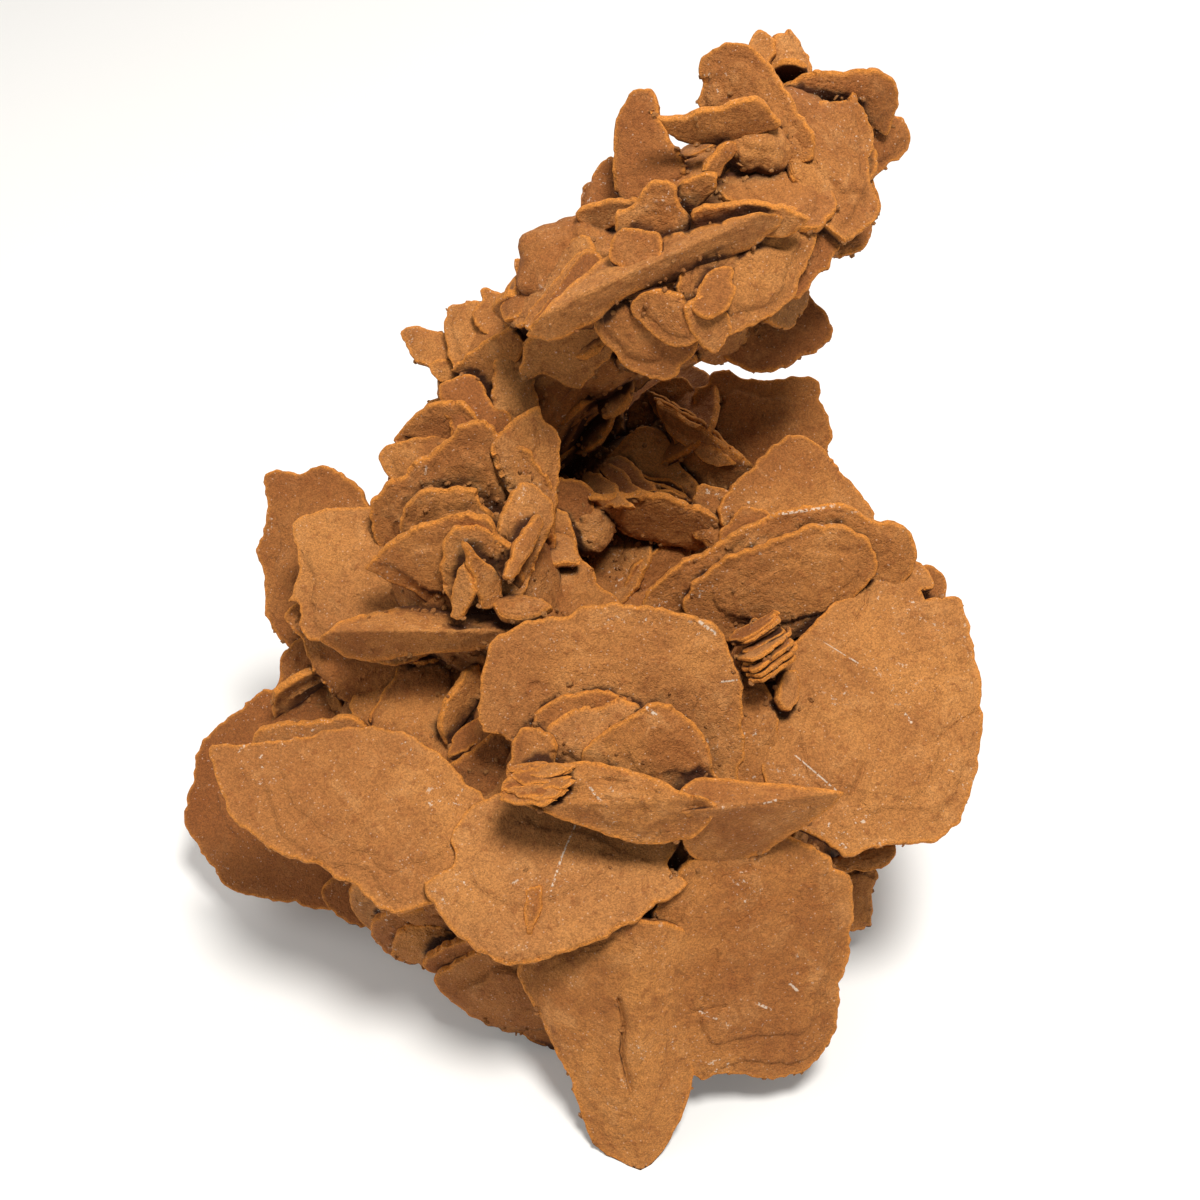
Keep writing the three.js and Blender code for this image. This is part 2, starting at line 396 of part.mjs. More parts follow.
// A closed mesh as a solid that can be joined and cut.
function solidFrom(wasm, geometry) {
  geometry.deleteAttribute("normal");
  geometry.deleteAttribute("uv");
  const merged = mergeVertices(geometry, SAME_POINT);
  const mesh = new wasm.Mesh({
    numProp: 3,
    vertProperties: new Float32Array(merged.attributes.position.array),
    triVerts: new Uint32Array(merged.index.array),
  });
  return new wasm.Manifold(mesh);
}

// A flat blade: its front face stops a little short of its back face, so its edge slants all round.
function bladeGeometry(rim, normal, thick) {
  const across = new THREE.Vector3().subVectors(rim[1], rim[0]).normalize();
  const along = new THREE.Vector3().crossVectors(normal, across).normalize();
  const middle = rim.reduce((sum, point) => sum.add(point), new THREE.Vector3()).divideScalar(rim.length);
  let back = rim.map((point) => {
    const offset = point.clone().sub(middle);
    return new THREE.Vector2(offset.dot(across), offset.dot(along));
  });
  if (THREE.ShapeUtils.isClockWise(back)) back = back.reverse();
  const front = insetOutline(back, RIM_BEVEL);
  const lift = (point, height) => middle.clone()
    .addScaledVector(across, point.x)
    .addScaledVector(along, point.y)
    .addScaledVector(normal, height);
  const count = back.length;
  const points = [
    ...front.map((point) => lift(point, thick / 2)),
    ...back.map((point) => lift(point, -thick / 2)),
  ];
  const faces = [];
  for (const [a, b, c] of THREE.ShapeUtils.triangulateShape(front, [])) {
    faces.push(a, b, c);
    faces.push(count + a, count + c, count + b);
  }
  for (let index = 0; index < count; index += 1) {
    const next = (index + 1) % count;
    faces.push(index, index + count, next + count);
    faces.push(index, next + count, next);
  }
  return new THREE.BufferGeometry().setFromPoints(points).setIndex(faces);
}

// An outline moved inwards by a distance, no further than a corner allows.
function insetOutline(outline, distance) {
  const count = outline.length;
  return outline.map((point, index) => {
    const before = point.clone().sub(outline[(index + count - 1) % count]).normalize();
    const after = outline[(index + 1) % count].clone().sub(point).normalize();
    const inward = new THREE.Vector2(-before.y - after.y, before.x + after.x);
    const sharpness = Math.max(inward.length() / 2, SHARPEST_CORNER);
    return point.clone().addScaledVector(inward.normalize(), distance / sharpness);
  });
}

// A blade whose rim is seen in the picture.
function seenBlade({ near, hinge, facing, thick, rim }) {
  const middle = hinge ?? [
    rim.reduce((sum, [x]) => sum + x, 0) / rim.length,
    rim.reduce((sum, [, y]) => sum + y, 0) / rim.length,
  ];
  const normal = new THREE.Vector3()
    .addScaledVector(RIGHT, facing[0])
    .addScaledVector(UPWARD, facing[1])
    .addScaledVector(TOWARD, facing[2])
    .normalize();
  const plane = new THREE.Plane().setFromNormalAndCoplanarPoint(normal, seenAt(middle, near));
  const corners = rim.map((point) => onSightLine(point, plane));
  return bladeGeometry(corners, normal, thick);
}

// The stack beside the spindle: one blade repeated, each further back than the one before.
function stackBlades({ count, nearStep, shiftStep, ...blade }) {
  return Array.from({ length: count }, (_, index) => seenBlade({
    ...blade,
    near: blade.near + nearStep * index,
    rim: blade.rim.map(([x, y]) => [x + shiftStep[0] * index, y + shiftStep[1] * index]),
  }));
}

// How far a line from a point goes before it leaves a lump, or 0 where it misses.
function exitDistance(from, direction, { middle, half }) {
  const stretch = new THREE.Vector3(...half);
  const start = from.clone().sub(new THREE.Vector3(...middle)).divide(stretch);
  const step = direction.clone().divide(stretch);
  const a = step.lengthSq();
  const b = start.dot(step);
  const inRoot = b * b - a * (start.lengthSq() - 1);
  return inRoot > 0 ? Math.max((Math.sqrt(inRoot) - b) / a, 0) : 0;
}

// A lumpy mass: in every direction its surface is the furthest one of its lumps.
function massGeometry({ middle, detail, lumps }) {
  const from = new THREE.Vector3(...middle);
  const geometry = new THREE.IcosahedronGeometry(1, detail);
  const position = geometry.getAttribute("position");
  const direction = new THREE.Vector3();
  for (let index = 0; index < position.count; index += 1) {
    direction.fromBufferAttribute(position, index).normalize();
    const reach = MASS_FULLNESS
      * Math.max(...Object.values(lumps).map((lump) => exitDistance(from, direction, lump)));
    direction.multiplyScalar(reach).add(from);
    position.setXYZ(index, direction.x, direction.y, direction.z);
  }
  return geometry;
}

// A small knob of sand.
function knobGeometry({ at, near, half }) {
  return new THREE.IcosahedronGeometry(1, 1).scale(...half).translate(...seenAt(at, near).toArray());
}

// The ragged rim of one hidden blade, shrunk until it stays within the rose's outline.
function hiddenRim(middle, normal, radius, random) {
  const across = SLANT.clone().cross(normal).normalize();
  const along = new THREE.Vector3().crossVectors(normal, across);
  const reaches = Array.from({ length: HIDDEN_RIM_POINTS }, () => 1 + HIDDEN_RAGGED * (2 * random() - 1));
  const oval = THREE.MathUtils.lerp(NARROWEST_OVAL, 1, random());
  for (let share = 1; share > SMALLEST_SHARE; share *= SHRINK_STEP) {
    const rim = reaches.map((reach, index) => {
      const angle = (index / HIDDEN_RIM_POINTS) * 2 * Math.PI;
      return middle.clone()
        .addScaledVector(across, Math.cos(angle) * reach * radius * share)
        .addScaledVector(along, Math.sin(angle) * reach * radius * share * oval);
    });
    if (rim.every((point) => insideOutline(pictureOf(point)))) return rim;
  }
  return null;
}

// Whether a point lies inside a lump of the heart.
function insideLump(point, { middle, half }) {
  const offset = point.clone().sub(new THREE.Vector3(...middle)).divide(new THREE.Vector3(...half));
  return offset.length() < BURIED;
}

// The blades that cover a lump where the eye doesn't see it, spread evenly by the golden angle.
function hiddenBlades(lump, lumps, random) {
  const blades = [];
  const { middle, half } = lump;
  const size = (half[0] + half[1] + half[2]) / 3;
  for (let index = 0; index < HIDDEN_PER_LUMP; index += 1) {
    const height = 1 - (2 * index + 1) / HIDDEN_PER_LUMP;
    const ring = Math.sqrt(1 - height * height);
    const turn = GOLDEN_ANGLE * index + middle[0];
    const outward = new THREE.Vector3(ring * Math.cos(turn), ring * Math.sin(turn), height);
    const sideways = new THREE.Vector3(random() - 0.5, random() - 0.5, random() - 0.5).cross(outward);
    const lean = THREE.MathUtils.lerp(...HIDDEN_LEAN, random());
    const normal = outward.clone().multiplyScalar(Math.cos(lean))
      .addScaledVector(sideways.normalize(), Math.sin(lean));
    const radius = size * THREE.MathUtils.lerp(...HIDDEN_REACH, random());
    const centre = new THREE.Vector3(...half).multiply(outward).multiplyScalar(HIDDEN_DEPTH)
      .add(new THREE.Vector3(...middle));
    const buried = lumps.some((other) => other !== lump && insideLump(centre, other));
    if (outward.dot(TOWARD) > FAR_SIDE || centre.z < LOWEST_MIDDLE || buried) continue;
    const rim = hiddenRim(centre, normal, radius, random);
    if (rim) blades.push(bladeGeometry(rim, normal, HIDDEN_THICK));
  }
  return blades;
}

// Everything joined in one solid, ground flat underneath, with no loose crumbs left over.
async function sandRoseGeometry() {
  const wasm = await Module();
  wasm.setup();
  const random = seededNumbers(HIDDEN_SEED);
  const lumps = [...Object.values(BODY_HEART.lumps), ...Object.values(SPIRE_HEART.lumps)];
  const pieces = [
    massGeometry(BODY_HEART),
    massGeometry(SPIRE_HEART),
    ...Object.values(SAND_KNOTS).map(knobGeometry),
    ...SEEN_BLADES.flatMap((group) => Object.values(group).map(seenBlade)),
    ...stackBlades(SHOULDER_STACK),
    ...lumps.flatMap((lump) => hiddenBlades(lump, lumps, random)),
  ];
  const joined = pieces
    .map((geometry) => solidFrom(wasm, geometry))
    .reduce((whole, solid) => whole.add(solid));
  const ground = new THREE.BoxGeometry(4 * ROSE_WIDTH, 4 * ROSE_WIDTH, ROSE_WIDTH)
    .translate(0, 0, FLOOR_CUT - ROSE_WIDTH / 2);
  const bodies = joined.subtract(solidFrom(wasm, ground)).simplify(SMALLEST_KEPT).decompose();
  const largest = bodies.reduce((best, body) => (body.volume() > best.volume() ? body : best));
  const { vertProperties, triVerts } = largest.getMesh();
  const geometry = new THREE.BufferGeometry();
  geometry.setAttribute("position", new THREE.BufferAttribute(vertProperties, 3));
  geometry.setIndex(new THREE.BufferAttribute(triVerts, 1));
  geometry.computeVertexNormals();
  return geometry;
}

// Matt red-brown gypsum, coloured by the sand that it grew in.
function gypsumMaterial() {
  return new THREE.MeshStandardMaterial({ color: 0xa9683c, roughness: 0.9, metalness: 0, flatShading: true });
}

const rose = new THREE.Group();
const sandRose = new THREE.Mesh(await sandRoseGeometry(), gypsumMaterial());
sandRose.name = "sand_rose";
rose.add(sandRose);

export default rose;
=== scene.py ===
"""Gypsum sand rose: one cluster of flat, rounded, sandy gypsum blades, dressed over its solid.

Every blade has its own closed mesh with a ragged rim, growth layers and a sandy skin. The blades of each
side are joined in one piece. Lengths in the lists are in millimetres; the meshes are in metres.
"""
import math

import bmesh
import bpy
import numpy as np
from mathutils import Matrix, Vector
from mathutils.geometry import delaunay_2d_cdt


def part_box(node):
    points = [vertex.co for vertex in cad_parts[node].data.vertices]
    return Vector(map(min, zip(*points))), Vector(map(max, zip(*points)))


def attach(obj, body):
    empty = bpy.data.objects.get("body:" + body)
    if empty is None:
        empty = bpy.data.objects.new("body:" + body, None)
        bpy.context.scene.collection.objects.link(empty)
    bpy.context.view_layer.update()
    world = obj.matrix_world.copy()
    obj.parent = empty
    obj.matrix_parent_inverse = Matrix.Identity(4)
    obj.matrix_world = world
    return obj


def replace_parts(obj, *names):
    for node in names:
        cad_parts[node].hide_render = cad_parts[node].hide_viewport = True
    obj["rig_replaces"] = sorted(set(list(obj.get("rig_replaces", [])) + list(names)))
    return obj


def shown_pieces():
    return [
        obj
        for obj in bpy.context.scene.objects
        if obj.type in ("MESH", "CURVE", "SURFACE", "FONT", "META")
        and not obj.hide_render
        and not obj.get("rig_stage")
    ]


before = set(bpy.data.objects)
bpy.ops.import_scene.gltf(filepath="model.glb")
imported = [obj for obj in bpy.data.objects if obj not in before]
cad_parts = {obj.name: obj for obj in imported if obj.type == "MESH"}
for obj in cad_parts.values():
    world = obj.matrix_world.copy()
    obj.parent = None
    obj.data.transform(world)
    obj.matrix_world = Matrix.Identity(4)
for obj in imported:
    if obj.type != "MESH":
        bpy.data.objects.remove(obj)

bl_info = {
    "name": "Gypsum sand rose",
    "version": (1, 0, 0),
    "blender": (4, 5, 0),
    "location": "View3D > Sidebar > Sand rose",
    "description": "Builds a gypsum sand rose with its blades, sandy heart and crumbs",
    "category": "Add Mesh",
}

NODE = "sand_rose"
BODY = "root"
MM = 0.001

# The view that the outlines are seen in: a square picture, in points.
ROSE_WIDTH = 205.0
EYE_DISTANCE = 450.0
EYE_ELEVATION = math.radians(40.0)
LOOKED_AT = np.array([0.0, 0.0, 90.0])
PICTURE_MIDDLE = 600.0
LEFTMOST_POINT = 186.0
RIGHTMOST_POINT = 979.0
MM_PER_POINT = ROSE_WIDTH / (RIGHTMOST_POINT - LEFTMOST_POINT)
RIGHT = np.array([1.0, 0.0, 0.0])
UPWARD = np.array([0.0, math.sin(EYE_ELEVATION), math.cos(EYE_ELEVATION)])
TOWARD = np.array([0.0, -math.cos(EYE_ELEVATION), math.sin(EYE_ELEVATION)])
EYE = LOOKED_AT + TOWARD * EYE_DISTANCE

# Each blade has a rim outline in picture points, where its sight lines meet the blade's plane.
# near: how far the plane stands towards the eye at the outline's middle, or at its hinge point.
# facing: the plane's normal as parts to the right, up and towards the eye.
# A row gives near, facing, the thickness and the outline as x, y, x, y and so on.

# The spire's tip and right side.
SPIRE_TOP = {
    "crown": (30, (-0.35, -0.2, 0.9), 3.4, (694, 103, 700, 89, 698, 70, 708, 53, 738, 41, 764, 59, 781, 82, 807,
        120, 818, 137, 812, 162, 770, 158, 716, 125)),
    "crown_shelf": (40, (0, -0.7, 0.7), 2.6, (649, 110, 666, 113, 704, 106, 747, 100, 776, 106, 785, 126, 735, 140,
        678, 142, 662, 128)),
    "back_tip_right": (10, (0.3, 0.1, 0.95), 3, (771, 38, 788, 30, 800, 46, 812, 72, 805, 105, 780, 100, 768, 70)),
    "dark_shelf": (18, (0.1, -0.6, 0.8), 4, (778, 90, 800, 74, 841, 71, 872, 66, 900, 86, 898, 116, 886, 134, 862,
        122, 838, 104, 795, 112)),
    "right_corner": (8, (0.4, -0.2, 0.9), 4, (892, 108, 908, 133, 902, 157, 879, 173, 850, 175, 840, 130)),
    "pale_right_face": (26, (0.35, 0.25, 0.9), 4, (798, 108, 843, 101, 851, 90, 860, 110, 873, 137, 866, 173, 879,
        216, 865, 232, 841, 246, 808, 215, 785, 160)),
    "right_flank": (14, (0.3, 0.1, 0.95), 4, (866, 166, 880, 195, 872, 230, 860, 251, 834, 261, 805, 245, 820,
        185)),
    "saddle_face": (32, (0.1, 0.5, 0.85), 4, (714, 188, 738, 163, 764, 161, 804, 172, 838, 205, 815, 232, 750,
        222)),
    "standing_sliver": (38, (0.5, -0.3, 0.8), 2.2, (697, 173, 727, 141, 739, 145, 716, 178)),
}

# The spire's middle, with the thick spindle blade and the little rosette below it.
SPIRE_MIDDLE = {
    "pale_leaf": (26, (-0.3, 0, 0.95), 2.6, (641, 86, 656, 92, 661, 106, 665, 124, 680, 145, 684, 185, 655, 215,
        618, 200, 611, 157, 616, 125, 628, 94)),
    "left_shoulder": (14, (-0.4, 0.2, 0.9), 4, (609, 157, 589, 180, 577, 209, 558, 247, 575, 270, 640, 255, 662,
        205, 642, 165)),
    "lit_shelf": (24, (-0.2, -0.6, 0.77), 2.4, (574, 213, 584, 206, 608, 200, 642, 198, 655, 216, 596, 231, 580,
        227)),
    "rimmed_petal": (41, (-0.1, -0.4, 0.9), 2.6, (613, 216, 618, 206, 639, 192, 658, 180, 675, 187, 680, 204, 692,
        218, 676, 252, 632, 252, 615, 229)),
    "thin_arc": (45, (0, -0.6, 0.8), 2.4, (693, 215, 704, 206, 728, 202, 764, 200, 790, 205, 813, 217, 790, 234,
        740, 234, 700, 230)),
    "back_disc": (32, (0.3, -0.1, 0.95), 2.8, (800, 188, 822, 199, 838, 222, 839, 247, 820, 278, 794, 301, 755, 292,
        745, 215)),
    "front_disc": (38, (0.3, -0.1, 0.95), 2.8, (790, 205, 819, 214, 818, 232, 807, 269, 788, 302, 750, 329, 708,
        343, 675, 322, 685, 255, 740, 212)),
    "lower_lip": (37, (-0.2, -0.5, 0.85), 2.6, (594, 320, 596, 330, 608, 347, 637, 374, 657, 380, 675, 378, 692,
        359, 702, 345, 688, 310, 640, 300, 602, 306)),
    "rosette_left": (43, (-0.2, -0.4, 0.9), 2.4, (630, 305, 634, 319, 656, 336, 686, 346, 704, 330, 684, 296, 650,
        290)),
    "rosette_right": (44, (0.2, -0.4, 0.9), 2.4, (680, 303, 690, 340, 714, 355, 728, 345, 732, 312, 705, 288)),
    "right_tail": (-2, (0.2, -0.1, 0.97), 3, (798, 280, 816, 302, 834, 330, 822, 350, 801, 360, 783, 371, 728, 364,
        706, 330, 748, 285)),
}

# The left shoulder, where the spire grows out of the body.
LEFT_SHOULDER = {
    "upper_scale": (-2, (-0.2, 0.2, 0.95), 3, (514, 258, 538, 261, 565, 244, 580, 262, 562, 292, 529, 292, 516,
        275)),
    "middle_scale": (-8, (-0.1, 0.2, 0.97), 3, (474, 303, 483, 288, 498, 291, 524, 300, 510, 340, 480, 332)),
    "broad_scale": (-10, (-0.3, 0.2, 0.93), 3, (450, 306, 470, 302, 508, 303, 516, 330, 495, 366, 456, 372, 445,
        335)),
    "far_left_scale": (-18, (-0.3, 0.3, 0.9), 3, (400, 334, 410, 327, 438, 332, 456, 338, 470, 362, 424, 368, 406,
        346)),
    "far_left_lower": (-14, (-0.2, 0, 0.97), 3, (421, 363, 450, 358, 480, 368, 470, 392, 438, 382)),
    "lit_spur": (-4, (-0.3, -0.5, 0.8), 2.4, (514, 325, 493, 335, 464, 354, 450, 369, 472, 380, 505, 372, 526,
        345)),
    "inner_face": (-4, (0.1, 0.1, 1), 4, (506, 328, 540, 328, 548, 350, 536, 385, 541, 406, 525, 427, 490, 415, 495,
        365)),
    "hollow_lip": (8, (0, -0.6, 0.8), 2.6, (526, 338, 520, 364, 522, 386, 541, 374, 575, 390, 602, 366, 616, 342,
        590, 320, 548, 322)),
}

# The small rosette at the left, with its edge-on sprays.
LEFT_ROSETTE = {
    "back_top": (-3, (0, 0.2, 0.98), 3, (437, 394, 438, 384, 450, 377, 478, 378, 493, 402, 513, 417, 512, 445, 450,
        440)),
    "back_left": (-5, (-0.3, -0.4, 0.87), 2.6, (456, 396, 435, 399, 404, 422, 390, 440, 412, 452, 452, 450, 478,
        422)),
    "far_left": (-7, (-0.2, 0, 0.98), 3, (380, 460, 382, 450, 411, 438, 446, 440, 450, 485, 402, 492, 387, 477)),
    "back_petal": (6, (0, -0.45, 0.9), 3, (370, 507, 390, 479, 411, 460, 452, 434, 457, 424, 483, 419, 500, 432,
        526, 446, 543, 467, 553, 480, 556, 525, 548, 575, 480, 595, 395, 570)),
    "right_petal": (9, (0.35, -0.1, 0.93), 2.6, (493, 443, 514, 417, 540, 405, 541, 417, 556, 431, 562, 480, 555,
        520, 515, 500)),
    "middle_petal": (12, (0, -0.45, 0.9), 2.6, (398, 530, 411, 498, 440, 488, 478, 489, 482, 500, 508, 522, 505,
        580, 415, 580)),
    "front_petal": (20, (-0.1, -0.55, 0.83), 2.8, (361, 568, 396, 538, 424, 521, 461, 512, 490, 517, 504, 536, 517,
        545, 518, 600, 490, 612, 430, 604, 398, 583)),
    "front_layer": (23, (0.1, -0.5, 0.85), 2.2, (438, 570, 450, 530, 480, 523, 502, 542, 506, 600, 450, 604)),
    "right_spray": (28, (0.6, -0.3, 0.75), 2.4, (461, 537, 482, 556, 503, 578, 500, 606, 480, 608, 468, 572)),
    "left_spray": (27, (-0.5, -0.3, 0.8), 2.2, (462, 558, 471, 568, 474, 596, 462, 618, 450, 616, 453, 584)),
    "cup_petal": (17, (0.35, 0, 0.93), 2.8, (504, 502, 521, 481, 545, 492, 555, 519, 540, 562, 518, 602, 496, 600,
        494, 540)),
    "cup_oval": (24, (0.4, 0.2, 0.9), 4.2, (538, 513, 543, 524, 533, 548, 512, 580, 502, 578, 505, 562, 522, 530,
        530, 515)),
    "foot_oval": (24, (0, 0.5, 0.85), 5, (489, 604, 500, 597, 540, 597, 556, 611, 530, 622, 500, 620)),
}

# The big plates at the left.
LEFT_PLATES = {
    "far_plate": (-26, (-0.2, 0, 0.97), 5, (260, 483, 271, 471, 302, 471, 326, 464, 348, 476, 370, 498, 400, 560,
        380, 640, 300, 654, 266, 622, 264, 582, 258, 545, 267, 524, 264, 505)),
    "main_plate": (-2, (-0.1, 0.15, 0.98), 4, (295, 519, 319, 511, 360, 504, 405, 512, 455, 550, 470, 620, 400, 665,
        322, 642, 305, 639, 297, 606, 286, 603, 298, 558, 292, 538)),
    "lower_layer": (-8, (-0.1, -0.1, 0.99), 3.4, (284, 613, 300, 644, 319, 675, 328, 690, 346, 703, 380, 700, 430,
        670, 400, 610, 325, 590)),
    "low_far_plate": (-22, (-0.3, -0.1, 0.95), 3.4, (286, 645, 280, 678, 275, 692, 293, 716, 355, 722, 370, 690,
        320, 630)),
    "hollow_plate": (-4, (0, 0.1, 1), 4, (412, 650, 475, 649, 492, 665, 480, 700, 450, 720, 444, 745, 405, 750, 368,
        722, 384, 688)),
    "hollow_left": (-7, (0, 0.3, 0.95), 3, (346, 705, 374, 678, 403, 664, 420, 700, 385, 740, 350, 722)),
    "dark_wedge": (5, (0.6, -0.2, 0.78), 2.6, (482, 656, 484, 682, 466, 722, 446, 752, 439, 732, 443, 709, 456, 683,
        468, 666)),
    "thin_step": (-5, (-0.1, -0.4, 0.9), 2.6, (252, 733, 271, 723, 300, 722, 353, 715, 372, 730, 310, 748, 256,
        748)),
}

# The lower left, down to the blades that stand close to the ground.
LOWER_LEFT = {
    "big_plate": (26, (-0.1, 0.35, 0.93), 4, (211, 748, 236, 743, 292, 738, 337, 727, 382, 724, 424, 744, 465, 780,
        510, 830, 500, 890, 430, 908, 393, 912, 320, 871, 233, 824, 222, 797, 212, 764)),
    "dark_plate": (-25, (-0.3, 0, 0.95), 5, (275, 684, 236, 713, 202, 744, 194, 778, 184, 808, 188, 825, 207, 859,
        222, 884, 270, 899, 331, 909, 390, 880, 400, 760, 340, 690)),
    "dark_plate_tip": (-16, (-0.2, -0.1, 0.97), 3, (322, 898, 348, 920, 364, 929, 395, 905, 375, 870, 330, 876)),
    "upper_rim": (-2, (-0.2, -0.75, 0.6), 2.6, (348, 890, 359, 915, 372, 928, 400, 927, 450, 908, 410, 880, 365,
        870)),
    "middle_rim": (4, (-0.2, -0.7, 0.65), 2.6, (372, 929, 393, 954, 449, 967, 485, 960, 510, 935, 440, 900, 390,
        905)),
    "inner_rim": (12, (-0.1, -0.7, 0.7), 2.4, (398, 912, 426, 930, 453, 934, 490, 922, 450, 893)),
    "front_rim": (12, (-0.1, -0.7, 0.7), 2.6, (421, 961, 438, 972, 477, 980, 516, 972, 534, 995, 556, 975, 510, 935,
        450, 940)),
    "low_disc": (5, (-0.1, -0.6, 0.8), 4, (389, 953, 412, 963, 440, 970, 475, 965, 480, 930, 410, 920)),
    "ground_disc": (8, (-0.1, -0.6, 0.8), 5, (436, 971, 440, 986, 460, 1008, 488, 1025, 530, 1040, 558, 1050, 600,
        1030, 575, 965, 490, 945)),
}

# The front plates and the folded spear that points at the viewer.
FRONT = {
    "centre_plate": (37, (0.02, 0.3, 0.95), 4, (478, 802, 450, 835, 452, 860, 420, 882, 433, 910, 487, 960, 523,
        967, 577, 950, 630, 930, 670, 900, 690, 882, 670, 863, 680, 842, 640, 825, 567, 810, 520, 790)),
    "right_plate": (27, (0.15, -0.25, 0.95), 5, (797, 837, 820, 847, 837, 860, 850, 880, 853, 947, 840, 987, 833,
        1033, 803, 1073, 733, 1075, 640, 1078, 632, 1040, 640, 960, 655, 900, 700, 850, 760, 825)),
    "far_right_tab": (-14, (0.3, -0.2, 0.93), 4, (873, 865, 875, 893, 872, 927, 857, 934, 825, 925, 820, 862)),
}

# The upright petal in the middle, with the small discs at its foot.
MIDDLE = {
    "great_petal": (32, (0, -0.1, 1), 4, (481, 666, 490, 641, 521, 624, 560, 612, 619, 603, 670, 609, 716, 624, 737,
        664, 745, 689, 744, 720, 738, 795, 640, 835, 555, 812, 502, 736, 482, 731, 480, 694)),
    "side_petal": (27, (0.15, 0, 0.99), 4, (742, 670, 773, 694, 782, 728, 793, 760, 794, 795, 760, 815, 705, 800,
        700, 690)),
    "foot_disc_left": (35, (0, -0.1, 1), 4, (528, 742, 529, 722, 541, 708, 563, 692, 608, 689, 628, 702, 625, 770,
        555, 785)),
    "foot_disc_middle": (38, (0.05, -0.1, 1), 4, (543, 740, 555, 720, 591, 703, 636, 701, 648, 720, 645, 780, 565,
        785)),
    "foot_disc_right": (40, (0, -0.15, 0.98), 4, (580, 768, 583, 750, 605, 728, 633, 712, 664, 701, 681, 708, 709,
        745, 716, 785, 650, 805)),
}

# The two great discs at the right and the crumbly knot between them.
RIGHT_ROSETTE = {
    "upper_disc": (12, (0, -0.35, 0.93), 4, (640, 600, 655, 581, 680, 560, 723, 538, 763, 517, 803, 504, 842, 504,
        873, 518, 895, 520, 918, 541, 919, 562, 880, 610, 840, 640, 790, 665, 720, 665, 672, 635)),
    "upper_disc_layer": (15, (0, -0.35, 0.93), 3, (683, 609, 683, 594, 692, 581, 723, 560, 790, 530, 850, 525, 880,
        560, 835, 615, 760, 650, 715, 640)),
    "great_disc": (19, (0.14, 0.25, 0.95), 5, (904, 557, 931, 568, 932, 590, 922, 596, 957, 601, 969, 630, 978, 670,
        980, 750, 965, 820, 947, 836, 879, 850, 845, 860, 821, 839, 780, 822, 755, 740, 775, 665, 807, 626, 836,
        601, 867, 583)),
    "rim_tab": (6, (0.3, 0.1, 0.95), 3, (926, 566, 944, 578, 949, 606, 915, 615, 900, 585)),
    "low_tab": (-8, (0, 0, 1), 4, (846, 852, 896, 843, 894, 858, 870, 869, 845, 872, 825, 860)),
}

# The smaller blades at the back right, behind the dark hollow.
BACK_RIGHT = {
    "top_disc": (-38, (0.15, -0.1, 0.98), 4, (694, 388, 710, 372, 736, 371, 762, 378, 796, 374, 820, 383, 827, 414,
        832, 431, 827, 465, 800, 500, 735, 490, 698, 430)),
    "top_left_disc": (-40, (-0.1, 0, 1), 3.6, (626, 438, 638, 395, 659, 380, 681, 377, 697, 390, 704, 430, 690, 478,
        640, 470)),
    "layered_spur": (-26, (-0.4, -0.5, 0.77), 3, (650, 394, 681, 411, 724, 442, 754, 464, 750, 490, 700, 492, 671,
        440)),
    "left_fan": (-30, (-0.1, 0.1, 1), 3.4, (604, 464, 614, 448, 640, 426, 662, 428, 680, 455, 706, 485, 700, 520,
        650, 520, 612, 495)),
    "underlit_rim": (-14, (0, -0.7, 0.7), 2.8, (583, 497, 647, 495, 693, 505, 726, 523, 705, 547, 659, 547, 621,
        534, 595, 512)),
    "warm_disc": (-18, (0.2, 0.1, 0.97), 4, (751, 464, 772, 444, 801, 435, 820, 450, 844, 474, 873, 513, 860, 560,
        760, 560, 715, 510, 735, 478)),
    "warm_step": (-16, (0, 0, 1), 3, (688, 502, 700, 484, 729, 490, 752, 515, 740, 555, 695, 540)),
    "hollow_disc": (-26, (-0.2, 0, 0.98), 3, (592, 540, 602, 530, 630, 542, 655, 560, 645, 600, 605, 612, 588,
        570)),
    "ribbed_face": (-4, (0.2, 0.2, 0.96), 4, (536, 560, 581, 559, 600, 584, 620, 602, 610, 640, 545, 640, 525,
        595)),
}


